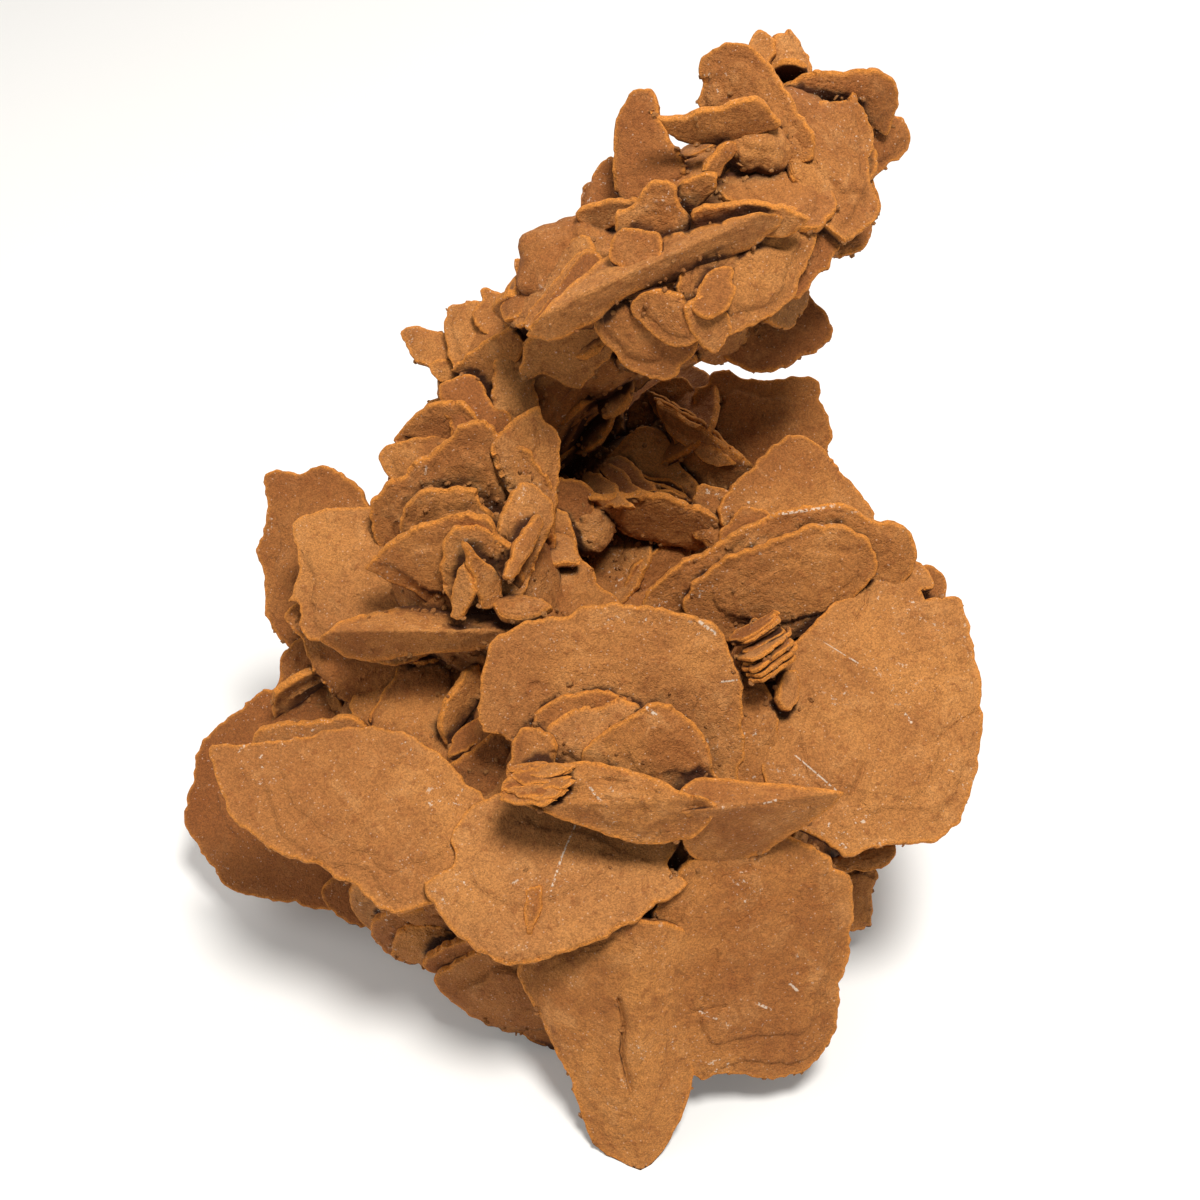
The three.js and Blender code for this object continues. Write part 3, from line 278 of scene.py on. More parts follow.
# Small blades that lie on or between the others.
SMALL_SPIRE = {
    "rosette_heart": (47, (0, 0.1, 1), 2.4, (690, 296, 703, 274, 732, 266, 738, 292, 716, 320, 696, 318)),
    "small_scale": (46, (-0.3, 0.1, 0.95), 2.2, (606, 254, 612, 240, 622, 227, 644, 226, 661, 234, 662, 264, 625,
        272)),
    "petal_side": (40, (-0.1, -0.5, 0.85), 2.6, (676, 184, 694, 174, 717, 173, 714, 192, 696, 214, 674, 208)),
    "back_tip_left": (12, (-0.2, 0.2, 0.95), 2.6, (748, 42, 759, 30, 772, 33, 778, 55, 765, 80, 745, 62)),
    "tail_edge": (8, (0.75, 0, 0.66), 2.4, (808, 290, 798, 322, 786, 331, 766, 322, 772, 292)),
}
SMALL_BODY = {
    "raised_sliver": (41, (0.02, 0.3, 0.95), 3, (523, 900, 530, 885, 543, 883, 545, 905, 532, 942, 524, 935)),
    "foot_scale": (39, (-0.3, 0, 0.95), 3, (505, 770, 508, 745, 525, 727, 556, 738, 562, 790, 520, 792)),
    "leaning_scale": (28, (0.5, 0.2, 0.84), 2.6, (774, 697, 786, 666, 798, 671, 796, 706, 782, 714)),
    "lit_wedge": (9, (-0.3, 0.6, 0.74), 2.4, (482, 714, 456, 733, 437, 767, 466, 756, 490, 736)),
    "gap_filler": (16, (0, 0, 1), 4, (442, 778, 463, 752, 492, 733, 520, 742, 530, 795, 490, 815, 448, 800)),
    "inner_lower": (-8, (0, 0, 1), 3, (550, 508, 567, 510, 579, 535, 580, 570, 545, 575, 535, 540)),
    "inner_top": (-12, (0, 0, 1), 3, (550, 478, 579, 481, 599, 494, 590, 520, 555, 520, 540, 495)),
    "small_step": (-6, (0, 0, 1), 3, (720, 534, 743, 508, 768, 514, 775, 560, 730, 565)),
    "hollow_step": (-24, (0.3, -0.2, 0.93), 3, (630, 566, 683, 533, 690, 555, 665, 590, 645, 615, 622, 600)),
    "hollow_blade": (-40, (0.3, 0, 0.95), 2.6, (590, 428, 608, 464, 590, 480, 572, 470)),
}

# The sandy heart: two masses, each the envelope of its lumps (middle, half sizes).
BODY_HEART = {"middle": [0, -4, 44], "lumps": [
    ([0, -26, 42], [52, 44, 40]),
    ([14, -52, 36], [38, 30, 30]),
    ([12, 22, 44], [42, 30, 36]),
    ([-2, -8, 12], [42, 40, 21]),
    ([42, -20, 28], [30, 28, 22]),
    ([-46, -4, 46], [30, 34, 28]),
    ([50, -14, 58], [31, 33, 33]),
    ([-32, 28, 86], [26, 26, 32]),
    ([-34, 6, 92], [24, 22, 24]),
    ([14, 58, 82], [28, 17, 25]),
]}
SPIRE_HEART = {"middle": [10, 50, 152], "lumps": [
    ([-22, 54, 118], [20, 18, 26]),
    ([-2, 52, 140], [20, 18, 19]),
    ([16, 44, 158], [23, 21, 19]),
    ([-6, 44, 160], [17, 16, 16]),
    ([30, 46, 175], [21, 19, 17]),
    ([47, 62, 188], [16, 15, 17]),
]}

HEART_FULLNESS = 0.93

# Knobs of crumbly sand between the blades: picture point, nearness and half sizes.
SAND_KNOTS = [
    ([757, 146], 33, [8, 6, 6]),
    ([796, 156], 28, [5, 5, 6]),
    ([764, 655], 22, [6, 6, 5]),
    ([590, 528], -16, [7, 7, 7]),
]

# The whole outline of the rose in the picture. No blade on its far side shows outside it.
WHOLE_OUTLINE = (642, 86, 665, 112, 694, 103, 698, 66, 716, 44, 748, 44, 762, 29, 795, 34, 812, 70, 872, 66, 902,
    88, 908, 135, 880, 175, 882, 205, 860, 252, 838, 262, 815, 292, 834, 330, 801, 360, 775, 374, 820, 383, 833,
    432, 829, 458, 872, 514, 915, 532, 944, 576, 958, 602, 980, 700, 978, 760, 965, 820, 895, 850, 874, 870, 874,
    925, 852, 936, 850, 960, 833, 1035, 803, 1073, 693, 1078, 657, 1157, 640, 1173, 600, 1152, 560, 1060, 550, 1048,
    485, 1024, 440, 985, 393, 955, 330, 909, 225, 885, 186, 812, 204, 742, 275, 684, 284, 640, 262, 605, 262, 482,
    325, 464, 372, 490, 382, 450, 437, 386, 424, 366, 401, 334, 412, 327, 446, 334, 452, 303, 514, 290, 516, 258,
    565, 244, 577, 208, 610, 156, 615, 120)

# The rule for the blades of the sides, back and underside.
HIDDEN_SEED = 20
GOLDEN_ANGLE = math.pi * (3 - math.sqrt(5))
HIDDEN_PER_LUMP = 6
HIDDEN_RIM_POINTS = 7
HIDDEN_THICK = 3.6
HIDDEN_LEAN = (0.45, 1.1)
HIDDEN_REACH = (0.8, 1.2)
HIDDEN_DEPTH = 0.92
BURIED = 0.88
LOWEST_MIDDLE = 4
HIDDEN_RAGGED = 0.12
NARROWEST_OVAL = 0.75
FAR_SIDE = 0.12
SHRINK_STEP = 0.85
SMALLEST_SHARE = 0.4
SLANT = np.array([0.3, 0.5, 0.8])


# The small blades that cover the far side between the larger ones.
FAR_SCALES_PER_LUMP = 26
FAR_SCALE_REACH = (0.3, 0.55)
FAR_SCALE_LEAN = (0.3, 1.2)
FAR_SCALE_DEPTH = 1.0
FAR_SCALE_THICK = 2.4

# Blades with a fold: the faces on both sides of it meet in a ridge that passes through the hinge.
# strata: how high the edges of the thin layers beside the ridge stand, in mm.
FOLDED = {
    "spindle": {"near": 50, "hinge": (656, 262), "facets": ((-0.35, 0.75, 0.55), (0.35, -0.75, 0.55)),
        "thick": 1.8, "rough": 1.2, "strata": 0.8,
        "ridge": (525, 335, 656, 262, 788, 217),
        "rim": (525, 337, 548, 303, 595, 264, 645, 240, 700, 225, 758, 212, 788, 217, 775, 232, 728, 259, 680, 281,
            620, 301, 598, 320, 548, 342)},
    "ledge": {"near": 22, "hinge": (420, 631), "facets": ((0, 0.88, 0.47), (0, -0.8, 0.6)),
        "thick": 1.8, "rough": 0.7, "strata": 0.3,
        "ridge": (317, 636, 420, 631, 530, 622),
        "rim": (317, 638, 350, 617, 396, 607, 442, 604, 482, 606, 530, 612, 527, 626, 495, 645, 410, 657, 348,
            659)},
    "spear": {"near": 31, "hinge": (642, 1060), "facets": ((-0.35, -0.2, 0.9), (0.5, -0.2, 0.85)),
        "thick": 3, "rough": 1, "strata": 0,
        "ridge": (640, 930, 642, 1060, 640, 1168),
        "rim": (517, 972, 533, 1007, 563, 1067, 580, 1113, 597, 1150, 618, 1158, 640, 1173, 657, 1157, 680, 1120,
            693, 1077, 704, 1020, 690, 930, 600, 915, 540, 935)},
    "spur": {"near": 52, "hinge": (748, 804), "facets": ((-0.1, 0.8, 0.6), (0.1, -0.75, 0.65)),
        "thick": 1.8, "rough": 1.8, "strata": 0.4,
        "ridge": (680, 812, 748, 804, 845, 792),
        "rim": (847, 792, 796, 785, 720, 779, 682, 782, 676, 810, 690, 820, 680, 842, 698, 864, 718, 869, 748, 860,
            798, 832, 832, 809)},
    "rough_back": {"near": 53, "hinge": (600, 803), "facets": ((-0.1, 0.6, 0.8), (0, -0.6, 0.8)),
        "thick": 2, "rough": 4, "strata": 1,
        "ridge": (496, 795, 600, 803, 718, 806),
        "rim": (496, 795, 513, 773, 549, 768, 572, 762, 608, 763, 640, 771, 692, 791, 720, 806, 688, 843, 653, 846,
            600, 834, 524, 806)},
}

# Thin blades that lie in stacks, each shifted from the one before.
STACKS = {
    "shoulder": {"near": 34, "near_step": -5, "shift_step": (-6, -4), "count": 4, "facing": (-0.5, 0.35, 0.8),
        "thick": 2, "rough": 1,
        "rim": (607, 240, 596, 238, 556, 282, 520, 326, 524, 342, 566, 318, 612, 276)},
    "knot": {"near": 36, "near_step": -0.9, "shift_step": (-2.6, -5.4), "count": 9, "facing": (-0.42, 0.85, 0.32),
        "thick": 1.2, "rough": 1.6,
        "rim": (744, 684, 750, 676, 772, 664, 800, 648, 804, 654, 788, 668, 762, 684)},
    "rough_end": {"near": 53, "near_step": -0.8, "shift_step": (1.6, -3.9), "count": 9, "facing": (-0.3, 0.8, 0.5),
        "thick": 0.9, "rough": 2.2,
        "rim": (497, 799, 508, 792, 536, 789, 566, 796, 556, 803, 520, 806)},
    "hollow_edges": {"near": -12, "near_step": -4, "shift_step": (10, -8), "count": 3, "facing": (-0.5, 0.6, 0.6),
        "thick": 2, "rough": 1,
        "rim": (584, 476, 600, 474, 628, 496, 640, 510, 622, 512, 600, 500)},
    "spur_layers": {"near": -24, "near_step": -3, "shift_step": (-4, -7), "count": 3, "facing": (-0.4, -0.3, 0.85),
        "thick": 1.8, "rough": 1,
        "rim": (654, 404, 684, 418, 722, 446, 744, 466, 722, 470, 690, 452, 664, 430)},
    "mid_layers": {"near": -20, "near_step": -3, "shift_step": (-2, -9), "count": 3, "facing": (0, -0.5, 0.85),
        "thick": 1.8, "rough": 1,
        "rim": (586, 492, 630, 486, 676, 494, 712, 512, 690, 522, 640, 514, 602, 506)},
}

# Cracks and fold lines in a blade's front face: picture points, depth and half width in mm.
CRACKS = {
    "spear": (((618, 997, 624, 1020, 621, 1050, 630, 1087), 1.6, 0.6),),
    "right_plate": (((648, 992, 677, 1000, 690, 1008, 723, 1000), 0.7, 0.5),),
    "great_disc": (((861, 581, 867, 590, 865, 606, 855, 621), 0.7, 0.5), ((861, 765, 855, 784, 848, 796), 0.7, 0.5),
                   ((977, 713, 950, 727, 934, 743), 0.5, 0.6)),
    "right_petal": (((534, 431, 536, 446, 529, 458), 0.8, 0.5),),
}

# How pale (1) or dark (0) some blades are, partly their own tone and partly painted light and shade on each blade;
# the others are drawn at random.
TINTS_AND_SHADES = {
    "big_plate": 0.72, "centre_plate": 0.95, "right_plate": 0.42, "spear": 0.5, "great_petal": 0.7,
    "great_disc": 0.72, "upper_disc": 0.4, "upper_disc_layer": 0.4, "main_plate": 0.75, "dark_plate": 0.0,
    "dark_plate_tip": 0.0, "far_plate": 0.2, "top_disc": 0.25, "crown": 0.4, "crown_shelf": 0.3,
    "dark_shelf": 0.2, "right_corner": 0.2, "lower_lip": 0.35, "front_petal": 0.35, "back_petal": 0.4,
    "middle_petal": 0.35, "low_far_plate": 0.15, "lower_layer": 0.3, "ledge": 0.5, "right_tail": 0.15,
    "ground_disc": 0.25, "rough_back": 0.45, "spur": 0.5, "foot_disc_right": 0.45, "warm_disc": 0.5,
}

# White scratches and chips: the blade that they're on, picture points from end to end, and half width in mm.
# A name that is no blade's stands for the small layers beside the great petal, at MARK_NEARNESS.
MARK_NEARNESS = 40
WHITE_MARKS = (
    ("centre_plate", (575, 826, 562, 856), 0.31), ("centre_plate", (562, 856, 551, 890), 0.37),
    ("great_disc", (805, 630, 858, 663), 0.25), ("great_disc", (795, 755, 836, 790), 0.28),
    ("great_disc", (905, 714, 911, 722), 0.5), ("upper_disc", (780, 514, 834, 506), 0.5),
    ("great_petal", (700, 622, 716, 634), 0.56), ("great_petal", (720, 682, 737, 680), 0.31),
    ("right_petal_edge", (756, 690, 763, 696), 0.68), ("foot_disc_right", (647, 708, 657, 716), 0.56),
    ("right_plate", (700, 1012, 716, 1018), 0.43), ("right_plate", (756, 1002, 770, 1009), 0.5),
    ("right_plate", (790, 984, 797, 990), 0.5), ("spur", (741, 820, 749, 824), 0.5),
    ("spur", (764, 803, 776, 800), 0.37), ("rough_back", (600, 766, 640, 773), 0.5),
    ("rough_back", (586, 783, 600, 800), 0.43),
)

# The stage. Each lamp: name, place and size in metres, share of the light power, and colour.
FLOOR_SIZE = 8.0
WORLD_STRENGTH = 0.2
WORLD_COLOUR = (1.0, 0.985, 0.96, 1)
LAMPS_AIM = (0, 0, 0.08)
FLOOR_GLOW = 0.13
LAMPS = (
    ("key_lamp", (0.2, -0.34, 1.28), 0.36, 1.9, (1.0, 0.985, 0.955)),
    ("left_lamp", (-0.95, -0.1, 0.8), 0.8, 0.3, (1.0, 0.99, 0.98)),
    ("back_lamp", (0.35, 1.0, 0.85), 0.8, 0.7, (1.0, 0.99, 0.98)),
)

# The meshes: how far apart their corners are, and the profile of a blade's rim.
RIM_SPACING = 0.85
FACE_SPACING = 1.25
FOLD_SPACING = 0.8
STRATA_STEP = 2.1
FAR_RIM_SPACING = 1.5
FAR_FACE_SPACING = 2.0
RIM_RINGS = (0.12, 0.4, 0.9, 1.6)
RIM_HALF = 1.15
RIM_ROUND = 0.5
CURVE_STEPS = 12
LEAST_INSET = 0.86
THINNEST_HALF = 0.22
STEP_SIDES = (-0.2, 0.2)
CRACK_SIDES = (-0.9, -0.4, 0.0, 0.4, 0.9)
CRACK_SPACING = 0.6
LAYER_SPACING = 1.1
RIM_MASK_WIDTH = 1.3
TINT_SEED = 77

# How rims, faces and the planes of blades wander: amount in mm, size in mm and what is added to the seed.
RIM_WANDER = ((0.8, 8.0, 0), (0.6, 3.0, 1), (0.42, 1.4, 3))
FACE_WANDER = ((0.3, 18.0, 3), (0.13, 6.0, 4), (0.1, 2.8, 5))
PIT_SIZE = 3.2
PIT_SHARE = 0.52
BITE_SIZE = 7.0
BITE_SHARE = 0.4
BITE_DEPTH = 3.2
RIM_INSET = 0.25


def lattice(corner, seed):
    """Numbers from -1 to 1 at the corners of a grid, the same each time."""
    mixed = (corner[..., 0] * 374761393 + corner[..., 1] * 668265263
             + corner[..., 2] * 2147483629 + seed * 974634777) & 0xFFFFFFFF
    mixed = ((mixed ^ (mixed >> 13)) * 1274126177) & 0xFFFFFFFF
    mixed = mixed ^ (mixed >> 16)
    return mixed / 2147483648.0 - 1.0


def noise(points, size, seed):
    """Smooth noise from -1 to 1 whose bumps are about size across."""
    scaled = np.asarray(points, float) / size
    low = np.floor(scaled).astype(np.int64)
    part = scaled - low
    part = part * part * (3 - 2 * part)
    total = np.zeros(len(scaled))
    for corner in np.ndindex(2, 2, 2):
        weight = np.prod(np.where(corner, part, 1 - part), axis=1)
        total += weight * lattice(low + corner, seed)
    return total


def wander(place, seed, rows):
    """A sum of noises of several sizes."""
    return sum(amount * noise(place, size, seed + shift) for amount, size, shift in rows)


def pairs(numbers):
    """Picture points from x, y, x, y and so on."""
    return np.reshape(np.array(numbers, float), (-1, 2))


def smoothstep(low, high, value):
    part = np.clip((value - low) / (high - low), 0, 1)
    return part * part * (3 - 2 * part)


def unit(vector):
    vector = np.asarray(vector, float)
    return vector / np.linalg.norm(vector, axis=-1, keepdims=True)


def on_sight_line(points, normal, through):
    """Where the sight lines through picture points meet a plane."""
    points = pairs(points)
    picture = (LOOKED_AT + np.outer((points[:, 0] - PICTURE_MIDDLE) * MM_PER_POINT, RIGHT)
               + np.outer((PICTURE_MIDDLE - points[:, 1]) * MM_PER_POINT, UPWARD))
    rays = picture - EYE
    return EYE + rays * (((through - EYE) @ normal) / (rays @ normal))[:, None]


def seen_at(point, near):
    """The point that a picture point shows at a given nearness."""
    return on_sight_line([point], TOWARD, LOOKED_AT + TOWARD * near)[0]


def picture_of(points):
    """The picture points at which points of the rose are seen."""
    from_eye = np.asarray(points, float) - EYE
    scale = EYE_DISTANCE / -(from_eye @ TOWARD) / MM_PER_POINT
    return np.stack([PICTURE_MIDDLE + from_eye @ RIGHT * scale, PICTURE_MIDDLE - from_eye @ UPWARD * scale], 1)


def inside_polygon(points, polygon):
    """Whether each point lies inside a closed outline."""
    polygon = pairs(polygon)
    after = np.roll(polygon, -1, 0)
    x, y = points[:, 0, None], points[:, 1, None]
    crosses = (polygon[:, 1] > y) != (after[:, 1] > y)
    height = np.where(after[:, 1] == polygon[:, 1], 1e-9, after[:, 1] - polygon[:, 1])
    at = polygon[:, 0] + (y - polygon[:, 1]) * (after[:, 0] - polygon[:, 0]) / height
    return (crosses & (x < at)).sum(1) % 2 == 1


def distance_to_line(points, line, closed=True):
    """How far each point is from an outline."""
    ends = np.roll(line, -1, 0) if closed else line[1:]
    starts = line if closed else line[:-1]
    span = ends - starts
    offset = points[:, None, :] - starts[None]
    share = np.clip((offset * span).sum(2) / np.maximum((span * span).sum(1), 1e-9), 0, 1)
    gap = offset - share[..., None] * span
    return np.sqrt((gap * gap).sum(2).min(1))


def rounded_outline(corners, spacing):
    """A closed line through the corners, rounded where it turns gently, with even spacing."""
    corners = np.asarray(corners, float)
    before = corners - np.roll(corners, 1, 0)
    after = np.roll(corners, -1, 0) - corners
    lengths = np.linalg.norm(after, axis=1)
    turn = (unit(before) * unit(after)).sum(1)
    direction = unit(unit(before) + unit(after) + 1e-9) * np.clip((turn + 0.4) / 1.1, 0, 1)[:, None]
    t = (np.arange(CURVE_STEPS) / CURVE_STEPS)[None, :, None]
    start, end = corners[:, None], np.roll(corners, -1, 0)[:, None]
    leave = (direction * lengths[:, None])[:, None]
    arrive = (np.roll(direction, -1, 0) * lengths[:, None])[:, None]
    curve = ((2 * t**3 - 3 * t**2 + 1) * start + (t**3 - 2 * t**2 + t) * leave
             + (3 * t**2 - 2 * t**3) * end + (t**3 - t**2) * arrive).reshape(-1, 2)
    return even_line(curve, spacing)


def even_line(line, spacing):
    """The same closed line with points at even steps."""
    closed = np.vstack([line, line[:1]])
    travelled = np.concatenate([[0], np.cumsum(np.linalg.norm(np.diff(closed, axis=0), axis=1))])
    count = max(int(travelled[-1] / spacing), 12)
    at = np.arange(count) * travelled[-1] / count
    return np.stack([np.interp(at, travelled, closed[:, axis]) for axis in (0, 1)], 1)


def outward_of(line):
    """The outward directions of a closed line that runs anticlockwise."""
    along = np.roll(line, -1, 0) - np.roll(line, 1, 0)
    return unit(np.stack([along[:, 1], -along[:, 0]], 1) + 1e-12)


def ragged(line, amount, seed):
    """A rim with scallops, fine notches and a few bites."""
    place = np.column_stack([line, np.full(len(line), seed * 7.3)])
    shift = wander(place, seed, RIM_WANDER)
    shift -= RIM_INSET + BITE_DEPTH * np.maximum(noise(place, BITE_SIZE, seed + 2) - BITE_SHARE, 0)
    return line + outward_of(line) * (shift * amount)[:, None]


def spread_points(outline, rings, spacing):
    """Points inside an outline: rings that follow the rim, then an even triangular grid."""
    outward = outward_of(outline)
    found = []
    for inset in rings:
        ring = outline - outward * inset
        keep = inside_polygon(ring, outline) & (distance_to_line(ring, outline) > LEAST_INSET * inset)
        found.append(ring[keep])
    low, high = outline.min(0), outline.max(0)
    rows = np.arange(low[1], high[1], spacing * 0.866)
    columns = np.arange(low[0], high[0], spacing)
    grid = np.array([[x + (0.5 * spacing if j % 2 else 0), y] for j, y in enumerate(rows) for x in columns])
    if len(grid):
        grid = grid[inside_polygon(grid, outline)]
        grid = grid[distance_to_line(grid, outline) > rings[-1] + 0.55 * spacing]
        found.append(grid)
    return found


def rim_edges(faces):
    """The edges that only one triangle has, as pairs of corners, and the edges that two have."""
    edges = np.sort(np.vstack([faces[:, [0, 1]], faces[:, [1, 2]], faces[:, [2, 0]]]), axis=1)
    found, count = np.unique(edges, axis=0, return_counts=True)
    return found[count == 1], found[count > 1]


def without_flaps(flat, faces):
    """Triangles of a face without those that have all corners on its rim, and with no inner edge across it."""
    for _ in range(6):
        on_rim = np.zeros(len(flat), bool)
        on_rim[rim_edges(faces)[0]] = True
        flap = on_rim[faces].all(1)
        if not flap.any():
            break
        faces = faces[~flap]
    across = [tuple(edge) for edge in rim_edges(faces)[1] if on_rim[edge].all()]
    faces = [tuple(face) for face in faces]
    points = list(flat)
    for a, b in across:
        points.append((flat[a] + flat[b]) / 2)
        middle = len(points) - 1
        for face in [face for face in faces if a in face and b in face]:
            faces.remove(face)
            faces.append(tuple(middle if corner == b else corner for corner in face))
            faces.append(tuple(middle if corner == a else corner for corner in face))
    used, faces = np.unique(np.array(faces), return_inverse=True)
    return np.array(points)[used], faces.reshape(-1, 3)


def with_line(inner, line, outline, margin, gap, closed):
    """Inner points with a line of others, where that lies well inside the outline."""
    keep = inside_polygon(line, outline) & (distance_to_line(line, outline) > margin)
    return np.vstack([inner[distance_to_line(inner, line, closed) > gap], line[keep]])


class Blade:
    """One blade: its plane, outline and thickness, with the growth layers that lie on it."""

    def __init__(self, name, corners, normal, thick, seed, far=False, cracks=(), rough=1.0, facets=(), ragged_by=1.0):
        self.name = name
        self.normal = unit(normal)
        self.thick = thick
        self.seed = seed
        self.far = far
        self.middle = corners.mean(0)
        self.across = unit(corners[1] - corners[0])
        self.along = unit(np.cross(self.normal, self.across))
        flat = self.flatten(corners)
        turned = np.roll(flat, -1, 0)
        if (flat[:, 0] * turned[:, 1] - turned[:, 0] * flat[:, 1]).sum() < 0:
            flat = flat[::-1]
        self.corners = flat
        self.cracks = cracks
        self.rough = rough
        self.facets = facets
        self.ragged_by = ragged_by

    def flatten(self, points):
        offset = points - self.middle
        return np.stack([offset @ self.across, offset @ self.along], 1)

    def lift(self, flat, height):
        return (self.middle + np.outer(flat[:, 0], self.across) + np.outer(flat[:, 1], self.along)
                + np.outer(height, self.normal))

    def seen_line(self, points):
        """The line on the blade's plane that picture points show."""
        return self.flatten(on_sight_line(points, self.normal, self.middle))

    def growth_layers(self, outline, reach):
        """Outlines of the growth layers, each further in than the one below and off to one side."""
        random = np.random.default_rng(self.seed)
        made = []
        count = 0 if reach < 5 else 1 if reach < 9 else 2
        for index in range(count):
            inset = reach * random.uniform(0.12, 0.3) + index * reach * 0.22
            turn = random.uniform(0, 2 * math.pi)
            shift = np.array([math.cos(turn), math.sin(turn)]) * reach * random.uniform(0.1, 0.3)
            shrink = 1 - inset / reach
            line = even_line(outline * shrink + outline.mean(0) * (1 - shrink) + shift, LAYER_SPACING)
            place = np.column_stack([line, np.full(len(line), self.seed * 3.1 + index)])
            wave = wander(place, self.seed, ((0.16 * reach, 0.6 * reach, 11), (0.7, 4.0, 12)))
            made.append((line + outward_of(line) * wave[:, None], random.uniform(0.35, 0.7)))
        return made

    def mesh(self):
        """The closed blade: corners, triangles, masks for its material, and which corners are on its rim."""
        spacing = FAR_FACE_SPACING if self.far else FOLD_SPACING if self.facets else FACE_SPACING
        outline = rounded_outline(self.corners, FAR_RIM_SPACING if self.far else RIM_SPACING)
        outline = ragged(outline, self.ragged_by, self.seed)
        rings = RIM_RINGS[::2] + RIM_RINGS[-1:] if self.far else RIM_RINGS
        found = spread_points(outline, rings, spacing)
        inner = np.vstack(found)
        reach = distance_to_line(inner, outline).max() if len(inner) else 1.0
        layers = self.growth_layers(outline, reach)
        for line, _ in layers:
            outward = outward_of(line)
            for side in STEP_SIDES:
                inner = with_line(inner, line + outward * side, outline, rings[-1] + 0.3, 0.35, True)
        for points, _, _ in self.cracks:
            line = self.seen_line(points)
            dense = np.vstack([np.linspace(a, b, max(int(np.linalg.norm(b - a) / CRACK_SPACING), 2))
                               for a, b in zip(line[:-1], line[1:])])
            sideways = unit(np.gradient(dense, axis=0) + 1e-9)[:, ::-1] * [1, -1]
            for side in CRACK_SIDES:
                inner = with_line(inner, dense + sideways * side, outline, 0.5, 0.3, False)
        count = len(outline)
        loop = [(i, (i + 1) % count) for i in range(count)]
        points = [Vector(p) for p in np.vstack([outline, inner])]
        points, _, faces, _, _, _ = delaunay_2d_cdt(points, loop, [], 1, 1e-4)
        flat = np.array([tuple(p) for p in points])
        flat, faces = without_flaps(flat, np.array([f for f in faces if len(f) == 3]))
        return self.thicken(flat, faces, outline, layers, reach)

    def heights(self, flat, depth, layers, reach, side):
        """How far one face stands from the blade's middle plane."""
        place = self.lift(flat, np.full(len(flat), side * 20.0))
        half = self.thick / 2
        rim_half = min(RIM_HALF, 0.85 * half)
        rim = rim_half * np.maximum(1 - (1 - np.minimum(depth / RIM_ROUND, 1)) ** 3, 0) ** (1 / 2.4)
        raised = sum(h for _, h in layers)
        full = rim + max(half - rim_half - 0.5 * raised, 0) * np.clip(depth / reach, 0, 1)
        for line, height in layers:
            gap = distance_to_line(flat, line) * np.where(inside_polygon(flat, line), 1, -1)
            full = full + height * smoothstep(-0.2, 0.2, gap) * (depth > RIM_RINGS[-1])
        wave = wander(place, self.seed, FACE_WANDER)
        pit = np.maximum(noise(place, PIT_SIZE, self.seed + 6) - PIT_SHARE, 0)
        fade = smoothstep(0.2, 3.0, depth)
        full = full + self.rough * (wave - 1.1 * pit) * fade
        full = full + 0.12 * self.rough * noise(place, 1.9, self.seed + 7) * smoothstep(0, 0.6, depth)
        return np.where(depth > 1e-3, np.maximum(full, THINNEST_HALF), 0.0)

    def strata_height(self, flat):
        """The edges of thin layers, as steps that run along the ridge of a folded blade's upper facet."""
        gap = distance_to_line(flat, self.seen_line(self.cracks[0][0]), False)
        place = self.lift(flat, np.zeros(len(flat)))
        part = (gap / STRATA_STEP + wander(place, self.seed, ((0.55, 9.0, 14), (0.25, 3.0, 15)))) % 1
        first, second = self.facet_reaches(place - EYE)
        return (smoothstep(0, 0.7, part) - smoothstep(0.75, 1, part) - 0.5) * np.where(first > second, 1, 0.35)

    def facet_reaches(self, rays):
        """How far along each ray each of the two facets lies."""
        return np.stack([((self.hinge - EYE) @ normal) / (rays @ normal) for normal in self.facets])

    def fold(self, flat, height):
        """Points of a folded blade: on each sight line the facet that lies further back."""
        rays = self.lift(flat, np.zeros(len(flat))) - EYE
        reach = self.facet_reaches(rays).max(0)
        return EYE + rays * reach[:, None] + np.outer(height, unit(self.facets[0] + self.facets[1]))

    def thicken(self, flat, faces, outline, layers, reach):
        """The closed mesh over both faces, whose corners on the rim are shared."""
        depth = distance_to_line(flat, outline)
        on_rim = np.zeros(len(flat), bool)
        on_rim[rim_edges(faces)[0]] = True
        depth = np.where(on_rim, 0.0, np.maximum(depth, 0.05))
        bend = 0.7 * noise(self.lift(flat, np.zeros(len(flat))), 30.0, self.seed + 8)
        bend += 0.35 * noise(self.lift(flat, np.zeros(len(flat))), 11.0, self.seed + 9) * smoothstep(8, 0, depth)
        front = self.heights(flat, depth, layers, reach, 1)
        back = self.heights(flat, depth, layers[:1], reach, -1)
        for points, deep, wide in self.cracks:
            gap = distance_to_line(flat, self.seen_line(points), False)
            front = front - deep * np.exp(-((gap / wide) ** 2)) * ~on_rim
        lower = np.where(on_rim, np.arange(len(flat)), 0)
        inner = np.nonzero(~on_rim)[0]
        lower[inner] = len(flat) + np.arange(len(inner))
        if self.facets:
            front = front + self.strata * self.strata_height(flat) * ~on_rim
            upper, under = self.fold(flat, front), self.fold(flat, -back)
        else:
            upper, under = self.lift(flat, bend + front), self.lift(flat, bend - back)
        corners = np.vstack([upper, under[inner]])
        triangles = np.vstack([faces, lower[faces][:, ::-1]])
        a, b, c = (flat[faces[:, k]] for k in range(3))
        if ((b - a)[:, 0] * (c - a)[:, 1] - (b - a)[:, 1] * (c - a)[:, 0]).sum() < 0:
            triangles = triangles[:, ::-1]
        # The rim mask, from which the material paints a glow of light on the rims.
        rim = np.exp(-depth / RIM_MASK_WIDTH)
        tint = np.full(len(corners), TINTS_AND_SHADES.get(self.name, np.random.default_rng(self.seed + TINT_SEED).random()))
        layer = np.concatenate([front, -back[inner]])
        edge = np.concatenate([on_rim, np.zeros(len(inner), bool)])
